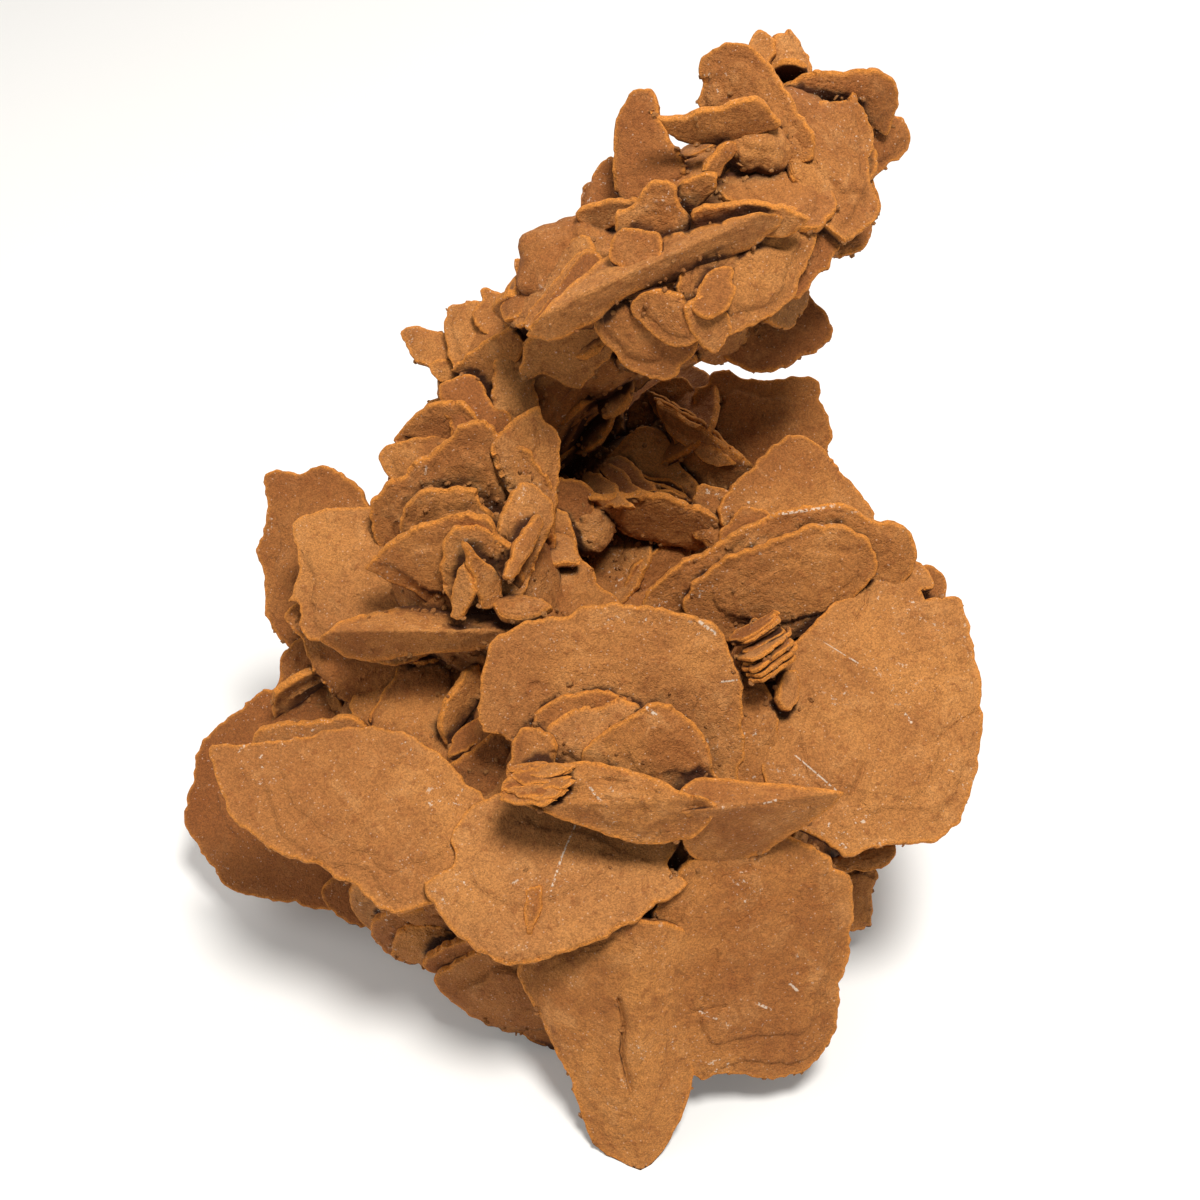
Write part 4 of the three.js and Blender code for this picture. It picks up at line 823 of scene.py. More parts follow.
        return corners, triangles, {"rim": np.concatenate([rim, rim[inner]]), "tint": tint, "layer": layer}, edge


# The blades and the heart, from the lists above.
def number_stream(seed):
    """Numbers between 0 and 1 that come out the same each time."""
    state = seed
    while True:
        state = (state * 1664525 + 1013904223) % 4294967296
        yield state / 4294967296


def direction_of(facing):
    """A direction from its parts to the right, up and towards the eye."""
    return unit(facing[0] * RIGHT + facing[1] * UPWARD + facing[2] * TOWARD)


def seed_of(name):
    return sum(ord(letter) * (place + 3) for place, letter in enumerate(name)) % 9973


def seen_blade(name, near, facing, thick, rim, rough=1.0, seed=None):
    """A flat blade whose rim shows at the given picture points."""
    normal = direction_of(facing)
    corners = on_sight_line(rim, normal, seen_at(list(pairs(rim).mean(0)), near))
    seed = seed_of(name) if seed is None else seed
    return Blade(name, corners, normal, thick, seed, cracks=CRACKS.get(name, ()), rough=rough)


def seen_blades(*groups):
    return [seen_blade(name, *row) for group in groups for name, row in group.items()]


def folded_blade(name):
    """A blade whose two facets meet in a ridge."""
    values = FOLDED[name]
    hinge = seen_at(values["hinge"], values["near"])
    corners = on_sight_line(values["rim"], TOWARD, hinge)
    facets = [direction_of(facing) for facing in values["facets"]]
    blade = Blade(name, corners, TOWARD, values["thick"], seed_of(name), facets=facets, ragged_by=0.6,
                  cracks=[(values["ridge"], 0.0, 1.0), *CRACKS.get(name, ())], rough=values["rough"])
    blade.hinge = hinge
    blade.strata = values["strata"]
    return blade


def stacked_blades(name):
    """Thin blades in a stack, each moved, tilted and sized a little differently."""
    values = dict(STACKS[name])
    step, shift, count = values.pop("near_step"), np.array(values.pop("shift_step")), values.pop("count")
    near, rim, facing = values.pop("near"), pairs(values.pop("rim")), np.array(values.pop("facing"))
    random = np.random.default_rng(seed_of(name))
    made = []
    for index in range(count):
        middle = rim.mean(0)
        moved = (rim - middle) * random.uniform(0.75, 1.1) + middle + shift * index + random.uniform(-2.5, 2.5, 2)
        tilted = facing + random.uniform(-0.13, 0.13, 3)
        made.append(seen_blade(name, near + step * index, facing=tilted, rim=moved, seed=seed_of(name) + index,
                               **values))
    return made


def spiral_direction(index, count, start=0.0):
    """One of many directions that the golden angle spreads evenly."""
    height = 1 - (2 * index + 1) / count
    ring = math.sqrt(1 - height * height)
    turn = GOLDEN_ANGLE * index + start
    return np.array([ring * math.cos(turn), ring * math.sin(turn), height])


def exit_distance(start, directions, lump):
    """How far lines from a point go before they leave a lump, or 0 where they miss."""
    middle, half = (np.array(values, float) for values in lump)
    begin = (start - middle) / half
    step = directions / half
    a = (step * step).sum(1)
    b = step @ begin
    root = b * b - a * (begin @ begin - 1)
    return np.where(root > 0, np.maximum((np.sqrt(np.maximum(root, 0)) - b) / a, 0), 0)


def ball(detail):
    """The corners and triangles of a round ball."""
    mesh = bmesh.new()
    bmesh.ops.create_icosphere(mesh, subdivisions=detail, radius=1)
    corners = np.array([v.co[:] for v in mesh.verts])
    triangles = np.array([[v.index for v in f.verts] for f in mesh.faces])
    mesh.free()
    return corners, triangles


def crumbly(corners, amount, seed):
    """Corners moved in and out, as sand that has stuck together in lumps."""
    shift = 2.2 * noise(corners, 9.0, seed) + 1.5 * np.abs(noise(corners, 4.4, seed + 1))
    shift += 0.6 * noise(corners, 2.1, seed + 2)
    return shift * amount


def heart_mesh(heart, detail, seed):
    """The crumbly envelope of a heart's lumps, as seen from its middle."""
    directions, triangles = ball(detail)
    start = np.array(heart["middle"], float)
    reach = np.max([exit_distance(start, directions, lump) for lump in heart["lumps"]], axis=0)
    reach = HEART_FULLNESS * reach
    corners = start + directions * (reach + crumbly(start + directions * reach[:, None], 1.0, seed))[:, None]
    zero = np.zeros(len(corners))
    return corners, triangles, {"rim": zero, "tint": zero + 0.3, "layer": zero}, zero > 1


def knot_mesh(at, near, half, seed):
    """A knob of crumbly sand at a picture point."""
    directions, triangles = ball(5)
    start = seen_at(at, near)
    corners = start + directions * np.array(half)
    corners = corners + directions * crumbly(corners, 0.8, seed)[:, None]
    zero = np.zeros(len(corners))
    return corners, triangles, {"rim": zero + 0.2, "tint": zero + 0.7, "layer": zero}, zero > 1


def hidden_rim(middle, normal, radius, random):
    """The rim of one hidden blade, shrunk until it stays within the rose's outline."""
    across = unit(np.cross(SLANT, normal))
    along = np.cross(normal, across)
    reaches = [1 + HIDDEN_RAGGED * (2 * next(random) - 1) for _ in range(HIDDEN_RIM_POINTS)]
    oval = NARROWEST_OVAL + (1 - NARROWEST_OVAL) * next(random)
    turns = np.arange(HIDDEN_RIM_POINTS) / HIDDEN_RIM_POINTS * 2 * math.pi
    share = 1.0
    while share > SMALLEST_SHARE:
        size = np.array(reaches) * radius * share
        rim = middle + np.outer(np.cos(turns) * size, across) + np.outer(np.sin(turns) * size * oval, along)
        if inside_polygon(picture_of(rim), WHOLE_OUTLINE).all():
            return rim
        share *= SHRINK_STEP
    return None


def lump_blades(lump, lumps, random, per_lump, reach_range, lean_range, depth, thick, first_seed):
    """The blades that cover a lump where the eye doesn't see it."""
    middle, half = (np.array(values, float) for values in lump)
    made = []
    for index in range(per_lump):
        outward = spiral_direction(index, per_lump, middle[0])
        sideways = unit(np.cross([next(random) - 0.5 for _ in range(3)], outward))
        lean = lean_range[0] + (lean_range[1] - lean_range[0]) * next(random)
        normal = outward * math.cos(lean) + sideways * math.sin(lean)
        radius = half.mean() * (reach_range[0] + (reach_range[1] - reach_range[0]) * next(random))
        centre = middle + half * outward * depth
        buried = any(np.linalg.norm((centre - np.array(m)) / np.array(h)) < BURIED
                     for m, h in (other for other in lumps if other is not lump))
        if outward @ TOWARD > FAR_SIDE or centre[2] < LOWEST_MIDDLE or buried:
            continue
        rim = hidden_rim(centre, normal, radius, random)
        if rim is not None:
            made.append(Blade("hidden", rim, normal, thick, first_seed + index, far=True))
    return made


def hidden_blades(per_lump, reach_range, lean_range, depth, thick, seed):
    """The blades of the far side, over all lumps of both hearts."""
    lumps = BODY_HEART["lumps"] + SPIRE_HEART["lumps"]
    random = number_stream(seed)
    made = []
    for place, lump in enumerate(lumps):
        made += lump_blades(lump, lumps, random, per_lump, reach_range, lean_range, depth, thick,
                            seed * 31 + place * 101)
    return made


def ground_flat(mesh):
    """Cuts off what lies below the floor and closes the cut."""
    everything = mesh.verts[:] + mesh.edges[:] + mesh.faces[:]
    cut = bmesh.ops.bisect_plane(mesh, geom=everything, plane_co=(0, 0, 0), plane_no=(0, 0, 1), clear_inner=True)
    edges = [e for e in cut["geom_cut"] if isinstance(e, bmesh.types.BMEdge) and e.is_boundary]
    bmesh.ops.holes_fill(mesh, edges=edges)
    bmesh.ops.triangulate(mesh, faces=[f for f in mesh.faces if len(f.verts) > 3])


def add_values(mesh, key, values):
    """One number for each corner of a mesh, under a name that the material reads."""
    attribute = mesh.attributes.get(key) or mesh.attributes.new(key, "FLOAT", "POINT")
    attribute.data.foreach_set("value", values.astype(np.float32))


def vertex_values(mesh, key):
    """The places or the normals of a mesh's corners."""
    values = np.zeros(len(mesh.vertices) * 3)
    mesh.vertices.foreach_get(key, values)
    return values.reshape(-1, 3)


def within_box(points):
    """Points moved into the box of the node that the pieces replace."""
    low, high = (np.array(corner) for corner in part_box(NODE))
    return np.clip(points, low, high)


def add_piece(name, mesh):
    """One object of the rose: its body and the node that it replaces."""
    piece = bpy.data.objects.new(name, mesh)
    bpy.context.scene.collection.objects.link(piece)
    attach(piece, BODY)
    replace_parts(piece, NODE)
    return piece


def make_piece(name, shells):
    """One object from closed shells, ground flat at the floor, riding on the rose's body."""
    corners, triangles, values, start = [], [], {"rim": [], "tint": [], "layer": []}, 0
    smooth = []
    for points, faces, masks, edge in shells:
        points = points * MM
        if points[:, 2].max() <= 0:
            continue
        masks = dict(masks, edge=edge * 1.0)
        if points[:, 2].min() < 0:
            points, faces, masks = cut_shell(points, faces, masks)
        smooth.append(masks["edge"][faces].max(1) < 0.99)
        corners.append(points)
        triangles.append(faces + start)
        start += len(points)
        for key in values:
            values[key].append(masks[key])
    corners = within_box(np.vstack(corners))
    triangles = np.vstack(triangles)
    mesh = bpy.data.meshes.new(name)
    mesh.vertices.add(len(corners))
    mesh.vertices.foreach_set("co", corners.astype(np.float32).ravel())
    mesh.loops.add(triangles.size)
    mesh.loops.foreach_set("vertex_index", triangles.astype(np.int32).ravel())
    mesh.polygons.add(len(triangles))
    mesh.polygons.foreach_set("loop_start", np.arange(0, triangles.size, 3, dtype=np.int32))
    mesh.polygons.foreach_set("use_smooth", np.concatenate(smooth))
    mesh.update(calc_edges=True)
    mesh.validate()
    for key, parts in values.items():
        add_values(mesh, key, np.concatenate(parts))
    mesh.materials.append(gypsum_material())
    add_piece(name, mesh)


def cut_shell(points, faces, masks):
    """A shell without what lies below the floor, closed again."""
    mesh = bmesh.new()
    keys = list(masks)
    layers = [mesh.verts.layers.float.new(key) for key in keys]
    verts = [mesh.verts.new(p) for p in points]
    for index, vert in enumerate(verts):
        for key, layer in zip(keys, layers):
            vert[layer] = masks[key][index]
    for a, b, c in faces:
        mesh.faces.new((verts[a], verts[b], verts[c]))
    ground_flat(mesh)
    mesh.verts.index_update()
    new_points = np.array([v.co[:] for v in mesh.verts])
    new_faces = np.array([[v.index for v in f.verts] for f in mesh.faces])
    new_masks = {key: np.array([v[layer] for v in mesh.verts]) for key, layer in zip(keys, layers)}
    mesh.free()
    return new_points, new_faces, new_masks


# How closed in each point is, from a coarse grid of what is filled: the mask that the material paints shade from and
# that places the crumbs.
CELL = 1.6
GRID_MARGIN = 30.0
SKY_DIRECTIONS = 26
SKY_STEPS = (1.5, 3.5, 6.0, 9.0, 13.0, 18.0, 25.0)
SKY_REACH = 34.0
UNDERSIDE_SHADE = 0.55
FILLED_UNDER = (0.5, 1.6)
HEART_FILL = 0.8
START_OFF = 2.4
LEAST_WEIGHT = 0.08


def filled_cells(places, normals, low, shape):
    """The grid cells that the blades and the heart fill."""
    filled = np.zeros(shape, bool)
    for inward in FILLED_UNDER:
        cell = ((places - normals * inward - low) / CELL).astype(int)
        filled[tuple(cell.T)] = True
    axes = [low[axis] + (np.arange(shape[axis]) + 0.5) * CELL for axis in range(3)]
    x, y, z = np.meshgrid(*axes, indexing="ij")
    for middle, half in BODY_HEART["lumps"] + SPIRE_HEART["lumps"]:
        filled |= sum(((v - m) / h) ** 2 for v, m, h in zip((x, y, z), middle, half)) < HEART_FILL
    filled |= z < 0
    return filled


def closed_in(places, normals, filled, low):
    """How much of the sky over each point is blocked, nearer things counting for more."""
    blocked, total = np.zeros(len(places)), np.zeros(len(places))
    start = places + normals * START_OFF
    for index in range(SKY_DIRECTIONS):
        direction = spiral_direction(index, SKY_DIRECTIONS)
        weight = np.maximum(normals @ direction, 0)
        seen = weight > LEAST_WEIGHT
        total += weight
        share = np.zeros(seen.sum())
        for step in SKY_STEPS:
            cell = ((start[seen] + direction * step - low) / CELL).astype(int)
            hit = filled[tuple(np.clip(cell, 0, np.array(filled.shape) - 1).T)]
            share = np.maximum(share, hit * (1 - step / SKY_REACH))
        blocked[seen] += weight[seen] * share
    return blocked / np.maximum(total, 1e-6)


def mark_crevices(pieces):
    """Gives each piece the mask crevice: 0 in the open and 1 deep between blades, raised on faces that look down. The
    material paints shade from it.
    """
    low, high = (np.array(corner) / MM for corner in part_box(NODE))
    low, high = low - GRID_MARGIN, high + GRID_MARGIN
    places = [vertex_values(piece.data, "co") / MM for piece in pieces]
    normals = [vertex_values(piece.data, "normal") for piece in pieces]
    shape = np.ceil((high - low) / CELL).astype(int)
    filled = filled_cells(np.vstack(places), np.vstack(normals), low, shape)
    for piece, place, normal in zip(pieces, places, normals):
        # Painted shade on faces that look down is added to the mask.
        value = closed_in(place, normal, filled, low) + UNDERSIDE_SHADE * np.maximum(0.1 - normal[:, 2], 0)
        add_values(piece.data, "crevice", np.clip(value, 0, 1))


# Materials.
def new_material(name):
    material = bpy.data.materials.new(name)
    material.use_nodes = True
    material.node_tree.nodes.clear()
    return material


class Tree:
    """A short way to write a node tree."""

    def __init__(self, tree):
        self.tree = tree

    def node(self, kind, settings=None, **inputs):
        made = self.tree.nodes.new(kind)
        for key, value in (settings or {}).items():
            setattr(made, key, value)
        for key, value in inputs.items():
            self.set(made, key, value)
        return made

    def set(self, node, key, value):
        socket = node.inputs[int(key[1:])] if key[0] == "#" else node.inputs[key]
        if isinstance(value, bpy.types.NodeSocket):
            self.tree.links.new(value, socket)
        else:
            socket.default_value = value

    def math(self, operation, *values):
        node = self.node("ShaderNodeMath", {"operation": operation})
        for index, value in enumerate(values):
            self.set(node, f"#{index}", value)
        return node.outputs[0]

    def noise(self, place, scale, detail=2.0, rough=0.5, distortion=0.0):
        node = self.node("ShaderNodeTexNoise", Vector=place, Scale=scale, Detail=detail, Roughness=rough,
                         Distortion=distortion)
        return node.outputs[0]

    def ramp(self, value, low, high, to_low=0.0, to_high=1.0):
        node = self.node("ShaderNodeMapRange", {"interpolation_type": "SMOOTHSTEP"}, Value=value)
        for key, number in (("From Min", low), ("From Max", high), ("To Min", to_low), ("To Max", to_high)):
            self.set(node, key, number)
        return node.outputs[0]

    def mix(self, share, first, second, blend="MIX"):
        node = self.node("ShaderNodeMix", {"data_type": "RGBA", "blend_type": blend})
        for index, value in ((0, share), (6, first), (7, second)):
            self.set(node, f"#{index}", value)
        return node.outputs[2]

    def attribute(self, name):
        return self.node("ShaderNodeAttribute", {"attribute_name": name}).outputs["Fac"]


def new_group(name, inputs, outputs):
    group = bpy.data.node_groups.new(name, "ShaderNodeTree")
    for title, kind, value in inputs:
        socket = group.interface.new_socket(title, in_out="INPUT", socket_type=kind)
        if value is not None:
            socket.default_value = value
    for title, kind in outputs:
        group.interface.new_socket(title, in_out="OUTPUT", socket_type=kind)
    tree = Tree(group)
    return group, tree, group.nodes.new("NodeGroupInput"), group.nodes.new("NodeGroupOutput")


SKIN = "sandy_gypsum_skin"
NUMBER = "NodeSocketFloat"
VECTOR = "NodeSocketVector"
FACE_COLOUR = (0.50, 0.200, 0.049, 1)
DEEP_COLOUR = (0.25, 0.075, 0.017, 1)
PALE_COLOUR = (0.60, 0.275, 0.090, 1)
RIM_GLOW_COLOUR = (0.70, 0.250, 0.036, 1)
SAND_COLOUR = (0.48, 0.25, 0.085, 1)
PAINTED_SHADE_COLOUR = (0.040, 0.009, 0.002, 1)
WHITE_COLOUR = (0.80, 0.68, 0.54, 1)
SEEN_FLAT = 0.85
GRAIN_MM = 0.32
TERRACE_RATE = 15.0
CRUMB_POWER = 2.2
SMALLEST_CRUMB = 0.0003
LARGEST_CRUMB = 0.0011
# The masks that the crumbs carry: their set crevice value gives them some painted shade.
CRUMB_VALUES = (("rim", 0.2), ("tint", 0.8), ("crevice", 0.45), ("layer", 0.0))
BURIED_CREVICE = 0.72

# Noises of the skin: scale in parts a metre, detail, roughness and distortion.
BROAD_NOISE = (38.0, 4.0, 0.6)
PATCH_NOISE = (120.0, 5.0, 0.65, 0.6)
SPOT_NOISE = (430.0, 3.0, 0.6)
CHIP_NOISE = (620.0, 3.0, 0.7)
CHIP_AREA_NOISE = (60.0, 2.0)
MARK_NOISE = (1400.0,)
FINE_GRAIN_NOISE = (2600.0, 2.0, 0.6)
LUMP_NOISE = (900.0, 2.0, 0.6)

# How much of each colour shows where its mask is full.
MOTTLE_SHARE = 0.62
RIM_GLOW_SHARE = 0.85
SAND_SHARE = 0.5
CREVICE_SHADE_SHARE = 0.93
CHIP_SHARE = 0.6
GLINT_SHARE = 0.25
GLINT_LEVEL = 0.992
MARK_SHARE = 0.7
ROUGHNESS = 0.86
SPECULAR = 0.28


def grain_group():
    """Sand grains: a fine height and a light and dark speckle."""
    found = bpy.data.node_groups.get("sand_grain")
    if found:
        return found
    group, tree, inside, outside = new_group(
        "sand_grain", [("Place", VECTOR, None), ("Grain Size", NUMBER, GRAIN_MM)],
        [("Height", NUMBER), ("Speckle", NUMBER)])
    scale = tree.math("DIVIDE", 1000.0, inside.outputs["Grain Size"])
    cells = tree.node("ShaderNodeTexVoronoi", {"feature": "F1"}, Vector=inside.outputs["Place"], Scale=scale)
    fine = tree.noise(inside.outputs["Place"], *FINE_GRAIN_NOISE)
    lump = tree.noise(inside.outputs["Place"], *LUMP_NOISE)
    height = tree.math("ADD", tree.math("MULTIPLY", cells.outputs["Distance"], -0.6),
                       tree.math("MULTIPLY", fine, 0.6))
    tree.set(outside, "Height", tree.math("ADD", height, tree.math("MULTIPLY", lump, 0.9)))
    shade = tree.node("ShaderNodeSeparateColor", Color=cells.outputs["Color"]).outputs[0]
    tree.set(outside, "Speckle", shade)
    return group


def mark_group():
    """How close a place is to a line between two others: 1 on it and 0 beyond its half width."""
    found = bpy.data.node_groups.get("white_mark")
    if found:
        return found
    group, tree, inside, outside = new_group(
        "white_mark", [("Place", VECTOR, None), ("Start", VECTOR, None), ("End", VECTOR, None),
                       ("Half Width", NUMBER, 0.001)], [("Mask", NUMBER)])

    def vector(operation, first, second):
        return tree.node("ShaderNodeVectorMath", {"operation": operation}, **{"#0": first, "#1": second}).outputs

    start = inside.outputs["Start"]
    span = vector("SUBTRACT", inside.outputs["End"], start)[0]
    offset = vector("SUBTRACT", inside.outputs["Place"], start)[0]
    share = tree.math("DIVIDE", vector("DOT_PRODUCT", offset, span)["Value"],
                      vector("DOT_PRODUCT", span, span)["Value"])
    share = tree.math("MINIMUM", tree.math("MAXIMUM", share, 0.0), 1.0)
    nearest = tree.node("ShaderNodeVectorMath", {"operation": "SCALE"}, **{"#0": span, "Scale": share}).outputs[0]
    gap = tree.math("DIVIDE", vector("DISTANCE", offset, nearest)["Value"], inside.outputs["Half Width"])
    tree.set(outside, "Mask", tree.ramp(gap, 1.0, 0.35))
    return group


def flat_to_eye(point):
    """A point with most of its depth along the line of sight taken out, in metres."""
    return (point - TOWARD * (point @ TOWARD) * SEEN_FLAT) * MM


def white_marks(tree, place, spots):
    """The mask of all white marks, broken up by noise."""
    rows = {**MIDDLE, **RIGHT_ROSETTE, **FRONT, **LEFT_PLATES}
    depth = tree.node("ShaderNodeVectorMath", {"operation": "DOT_PRODUCT"}, **{"#0": place, "#1": tuple(TOWARD)})
    away = tree.node("ShaderNodeVectorMath", {"operation": "SCALE"},
                     **{"#0": tuple(TOWARD), "Scale": tree.math("MULTIPLY", depth.outputs["Value"], SEEN_FLAT)})
    seen = tree.node("ShaderNodeVectorMath", {"operation": "SUBTRACT"},
                     **{"#0": place, "#1": away.outputs[0]}).outputs[0]
    mask = 0.0
    for name, ends, half_width in WHITE_MARKS:
        if name in rows:
            blade = seen_blade(name, *rows[name])
            ends = on_sight_line(ends, blade.normal, blade.middle + blade.normal * blade.thick / 2)
        else:
            near = FOLDED[name]["near"] if name in FOLDED else MARK_NEARNESS
            ends = on_sight_line(ends, TOWARD, seen_at(ends[:2], near))
        start, end = (tuple(flat_to_eye(point)) for point in ends)
        mark = tree.node("ShaderNodeGroup", {"node_tree": mark_group()}, Place=seen, Start=start, End=end,
                         **{"Half Width": half_width * MM})
        mask = tree.math("MAXIMUM", mark.outputs[0], mask)
    return tree.math("MULTIPLY", mask, tree.ramp(spots, 0.44, 0.54))


def gypsum_material():
    """Matt sandy gypsum: mottled faces, rims painted with a warm glow of light, yellow sand and painted shade in the
    crevices, white chips and scratches, and painted glints.
    """
    found = bpy.data.materials.get(SKIN)
    if found:
        return found
    material = new_material(SKIN)
    tree = Tree(material.node_tree)
    place = tree.node("ShaderNodeTexCoord").outputs["Object"]
    rim, tint, crevice, layer = (tree.attribute(key) for key in ("rim", "tint", "crevice", "layer"))
    grain = tree.node("ShaderNodeGroup", {"node_tree": grain_group()}, Place=place)
    broad, patch, spots = (tree.noise(place, *values) for values in (BROAD_NOISE, PATCH_NOISE, SPOT_NOISE))
    colour = tree.mix(tree.ramp(broad, 0.35, 0.68), DEEP_COLOUR, FACE_COLOUR)
    colour = tree.mix(MOTTLE_SHARE, FACE_COLOUR, colour)
    # Tone that varies over the faces and from blade to blade; the set tints of some blades also hold painted light
    # and shade.
    for mask, low, high, share, other in (
            (patch, 0.5, 0.72, 0.5, PALE_COLOUR), (patch, 0.46, 0.3, 0.45, DEEP_COLOUR),
            (tint, 0.5, 1.0, 0.3, PALE_COLOUR), (tint, 0.5, 0.0, 0.7, DEEP_COLOUR),
            (spots, 0.54, 0.7, 0.5, DEEP_COLOUR)):
        colour = tree.mix(tree.math("MULTIPLY", tree.ramp(mask, low, high), share), colour, other)
    # Painted glow of light through the thin rims: the rims are painted a brighter orange.
    warm = tree.math("MULTIPLY", tree.ramp(rim, 0.3, 0.9), tree.ramp(spots, 0.3, 0.6, 0.5, 1.0))
    colour = tree.mix(tree.math("MULTIPLY", warm, RIM_GLOW_SHARE), colour, RIM_GLOW_COLOUR)
    sand = tree.math("MULTIPLY", tree.ramp(crevice, 0.2, 0.6), tree.ramp(patch, 0.45, 0.62))
    colour = tree.mix(tree.math("MULTIPLY", sand, SAND_SHARE), colour, SAND_COLOUR)
    # Painted shade: the colour darkens where the crevice mask is high, deep between blades and on faces that look
    # down.
    colour = tree.mix(tree.math("MULTIPLY", tree.ramp(crevice, 0.22, 0.8), CREVICE_SHADE_SHARE), colour, PAINTED_SHADE_COLOUR)
    speckle = tree.ramp(grain.outputs["Speckle"], 0.0, 1.0, 0.78, 1.2)
    grey = tree.node("ShaderNodeCombineColor", Red=speckle, Green=speckle, Blue=speckle).outputs[0]
    colour = tree.mix(1.0, colour, grey, "MULTIPLY")
    chips = tree.math("MULTIPLY", tree.ramp(tree.noise(place, *CHIP_NOISE), 0.62, 0.68),
                      tree.ramp(tree.noise(place, *CHIP_AREA_NOISE), 0.56, 0.66))
    glint = tree.math("GREATER_THAN", grain.outputs["Speckle"], GLINT_LEVEL)
    marks = white_marks(tree, place, tree.noise(place, *MARK_NOISE))
    white = tree.math("MULTIPLY", chips, CHIP_SHARE)
    for mask, share in ((glint, GLINT_SHARE), (marks, MARK_SHARE)):
        white = tree.math("MAXIMUM", white, tree.math("MULTIPLY", mask, share))
    colour = tree.mix(white, colour, WHITE_COLOUR)
    level = tree.math("ADD", layer, tree.math("MULTIPLY", patch, 0.5))
    terraces = tree.math("SINE", tree.math("MULTIPLY", level, TERRACE_RATE))
    rough = tree.math("ADD", patch, spots)
    bump = tree.node("ShaderNodeBump", Height=rough, Distance=0.0008, Strength=0.9)
    bump = tree.node("ShaderNodeBump", Height=terraces, Distance=0.00006, Strength=0.7, Normal=bump.outputs[0])
    bump = tree.node("ShaderNodeBump", Height=grain.outputs["Height"], Distance=0.00028, Strength=0.85,
                     Normal=bump.outputs[0])
    shader = tree.node("ShaderNodeBsdfPrincipled", Roughness=ROUGHNESS, Normal=bump.outputs[0],
                       **{"Base Color": colour, "Specular IOR Level": SPECULAR})
    tree.node("ShaderNodeOutputMaterial", Surface=shader.outputs[0])
    return material


def floor_material():
    material = new_material("pale_floor")
    tree = Tree(material.node_tree)
    shader = tree.node("ShaderNodeBsdfPrincipled", Roughness=0.7, **{
        "Base Color": (0.82, 0.81, 0.79, 1), "Specular IOR Level": 0.2,
        "Emission Color": (1.0, 0.97, 0.92, 1), "Emission Strength": FLOOR_GLOW})
    tree.node("ShaderNodeOutputMaterial", Surface=shader.outputs[0])
    return material


# Crumbs of sand that have stuck in the crevices.
def crumb_nodes():
    """A node tree that scatters small lumps where the mask crevice is high, but not where blades bury it."""
    group = bpy.data.node_groups.new("scatter_crumbs", "GeometryNodeTree")
    for title, kind, value in (("Geometry", "NodeSocketGeometry", None), ("Density", NUMBER, 1.0),
                               ("Seed", "NodeSocketInt", 0), ("Smallest", NUMBER, SMALLEST_CRUMB),
                               ("Largest", NUMBER, LARGEST_CRUMB), ("Material", "NodeSocketMaterial", None)):
        socket = group.interface.new_socket(title, in_out="INPUT", socket_type=kind)
        if value is not None:
            socket.default_value = value
    group.interface.new_socket("Geometry", in_out="OUTPUT", socket_type="NodeSocketGeometry")
    tree = Tree(group)
    given, outside = group.nodes.new("NodeGroupInput").outputs, group.nodes.new("NodeGroupOutput")
    mask = tree.node("GeometryNodeInputNamedAttribute", {"data_type": "FLOAT"}, Name="crevice")
    mask = mask.outputs["Attribute"]
    unburied = tree.math("LESS_THAN", mask, BURIED_CREVICE)
    share = tree.math("MULTIPLY", tree.math("POWER", mask, CRUMB_POWER), unburied)
    spread = tree.node("GeometryNodeDistributePointsOnFaces", Mesh=given["Geometry"], Seed=given["Seed"],
                       Density=tree.math("MULTIPLY", share, given["Density"]))
    lump = tree.node("GeometryNodeMeshIcoSphere", Radius=1.0, Subdivisions=1)
    turn = tree.node("FunctionNodeRandomValue", {"data_type": "FLOAT_VECTOR"}, **{"#1": (2 * math.pi,) * 3})
    low, high = (tree.node("ShaderNodeCombineXYZ", X=given[key], Y=given[key], Z=given[key]).outputs[0]
                 for key in ("Smallest", "Largest"))
    size = tree.node("FunctionNodeRandomValue", {"data_type": "FLOAT_VECTOR"},
                     **{"#0": low, "#1": high, "Seed": given["Seed"]})
    placed = tree.node("GeometryNodeInstanceOnPoints", Points=spread.outputs["Points"], Instance=lump.outputs["Mesh"],
                       Rotation=turn.outputs[0], Scale=size.outputs[0])
    real = tree.node("GeometryNodeRealizeInstances", Geometry=placed.outputs["Instances"])
    paint = tree.node("GeometryNodeSetMaterial", Geometry=real.outputs["Geometry"], Material=given["Material"])
    tree.set(outside, "Geometry", paint.outputs["Geometry"])
    return group


def scatter_crumbs(pieces, density, seed):
    """One piece with the crumbs on all the others."""
    faces = bmesh.new()
    for piece in pieces:
        faces.from_mesh(piece.data)
    carrier_mesh = bpy.data.meshes.new("carrier")
    faces.to_mesh(carrier_mesh)
    faces.free()
    carrier = bpy.data.objects.new("carrier", carrier_mesh)
    bpy.context.scene.collection.objects.link(carrier)
    nodes = crumb_nodes()
    modifier = carrier.modifiers.new("crumbs", "NODES")
    modifier.node_group = nodes
    sockets = {item.name: item.identifier for item in nodes.interface.items_tree if item.in_out == "INPUT"}
    for key, value in (("Density", density), ("Seed", seed), ("Material", gypsum_material())):
        modifier[sockets[key]] = value
    ready = carrier.evaluated_get(bpy.context.evaluated_depsgraph_get())
    mesh = bpy.data.meshes.new_from_object(ready)
    bpy.data.objects.remove(carrier)
    places = within_box(vertex_values(mesh, "co"))
    mesh.vertices.foreach_set("co", places.astype(np.float32).ravel())
    for key, value in CRUMB_VALUES:
        old = mesh.attributes.get(key)
        if old:
            mesh.attributes.remove(old)
        add_values(mesh, key, np.full(len(mesh.vertices), value))
    mesh.name = "sand_crumbs"
    add_piece("sand_crumbs", mesh)


# The operators: one for each group of pieces, and one for the stage.
def settings():
    return bpy.context.scene.sand_rose_settings


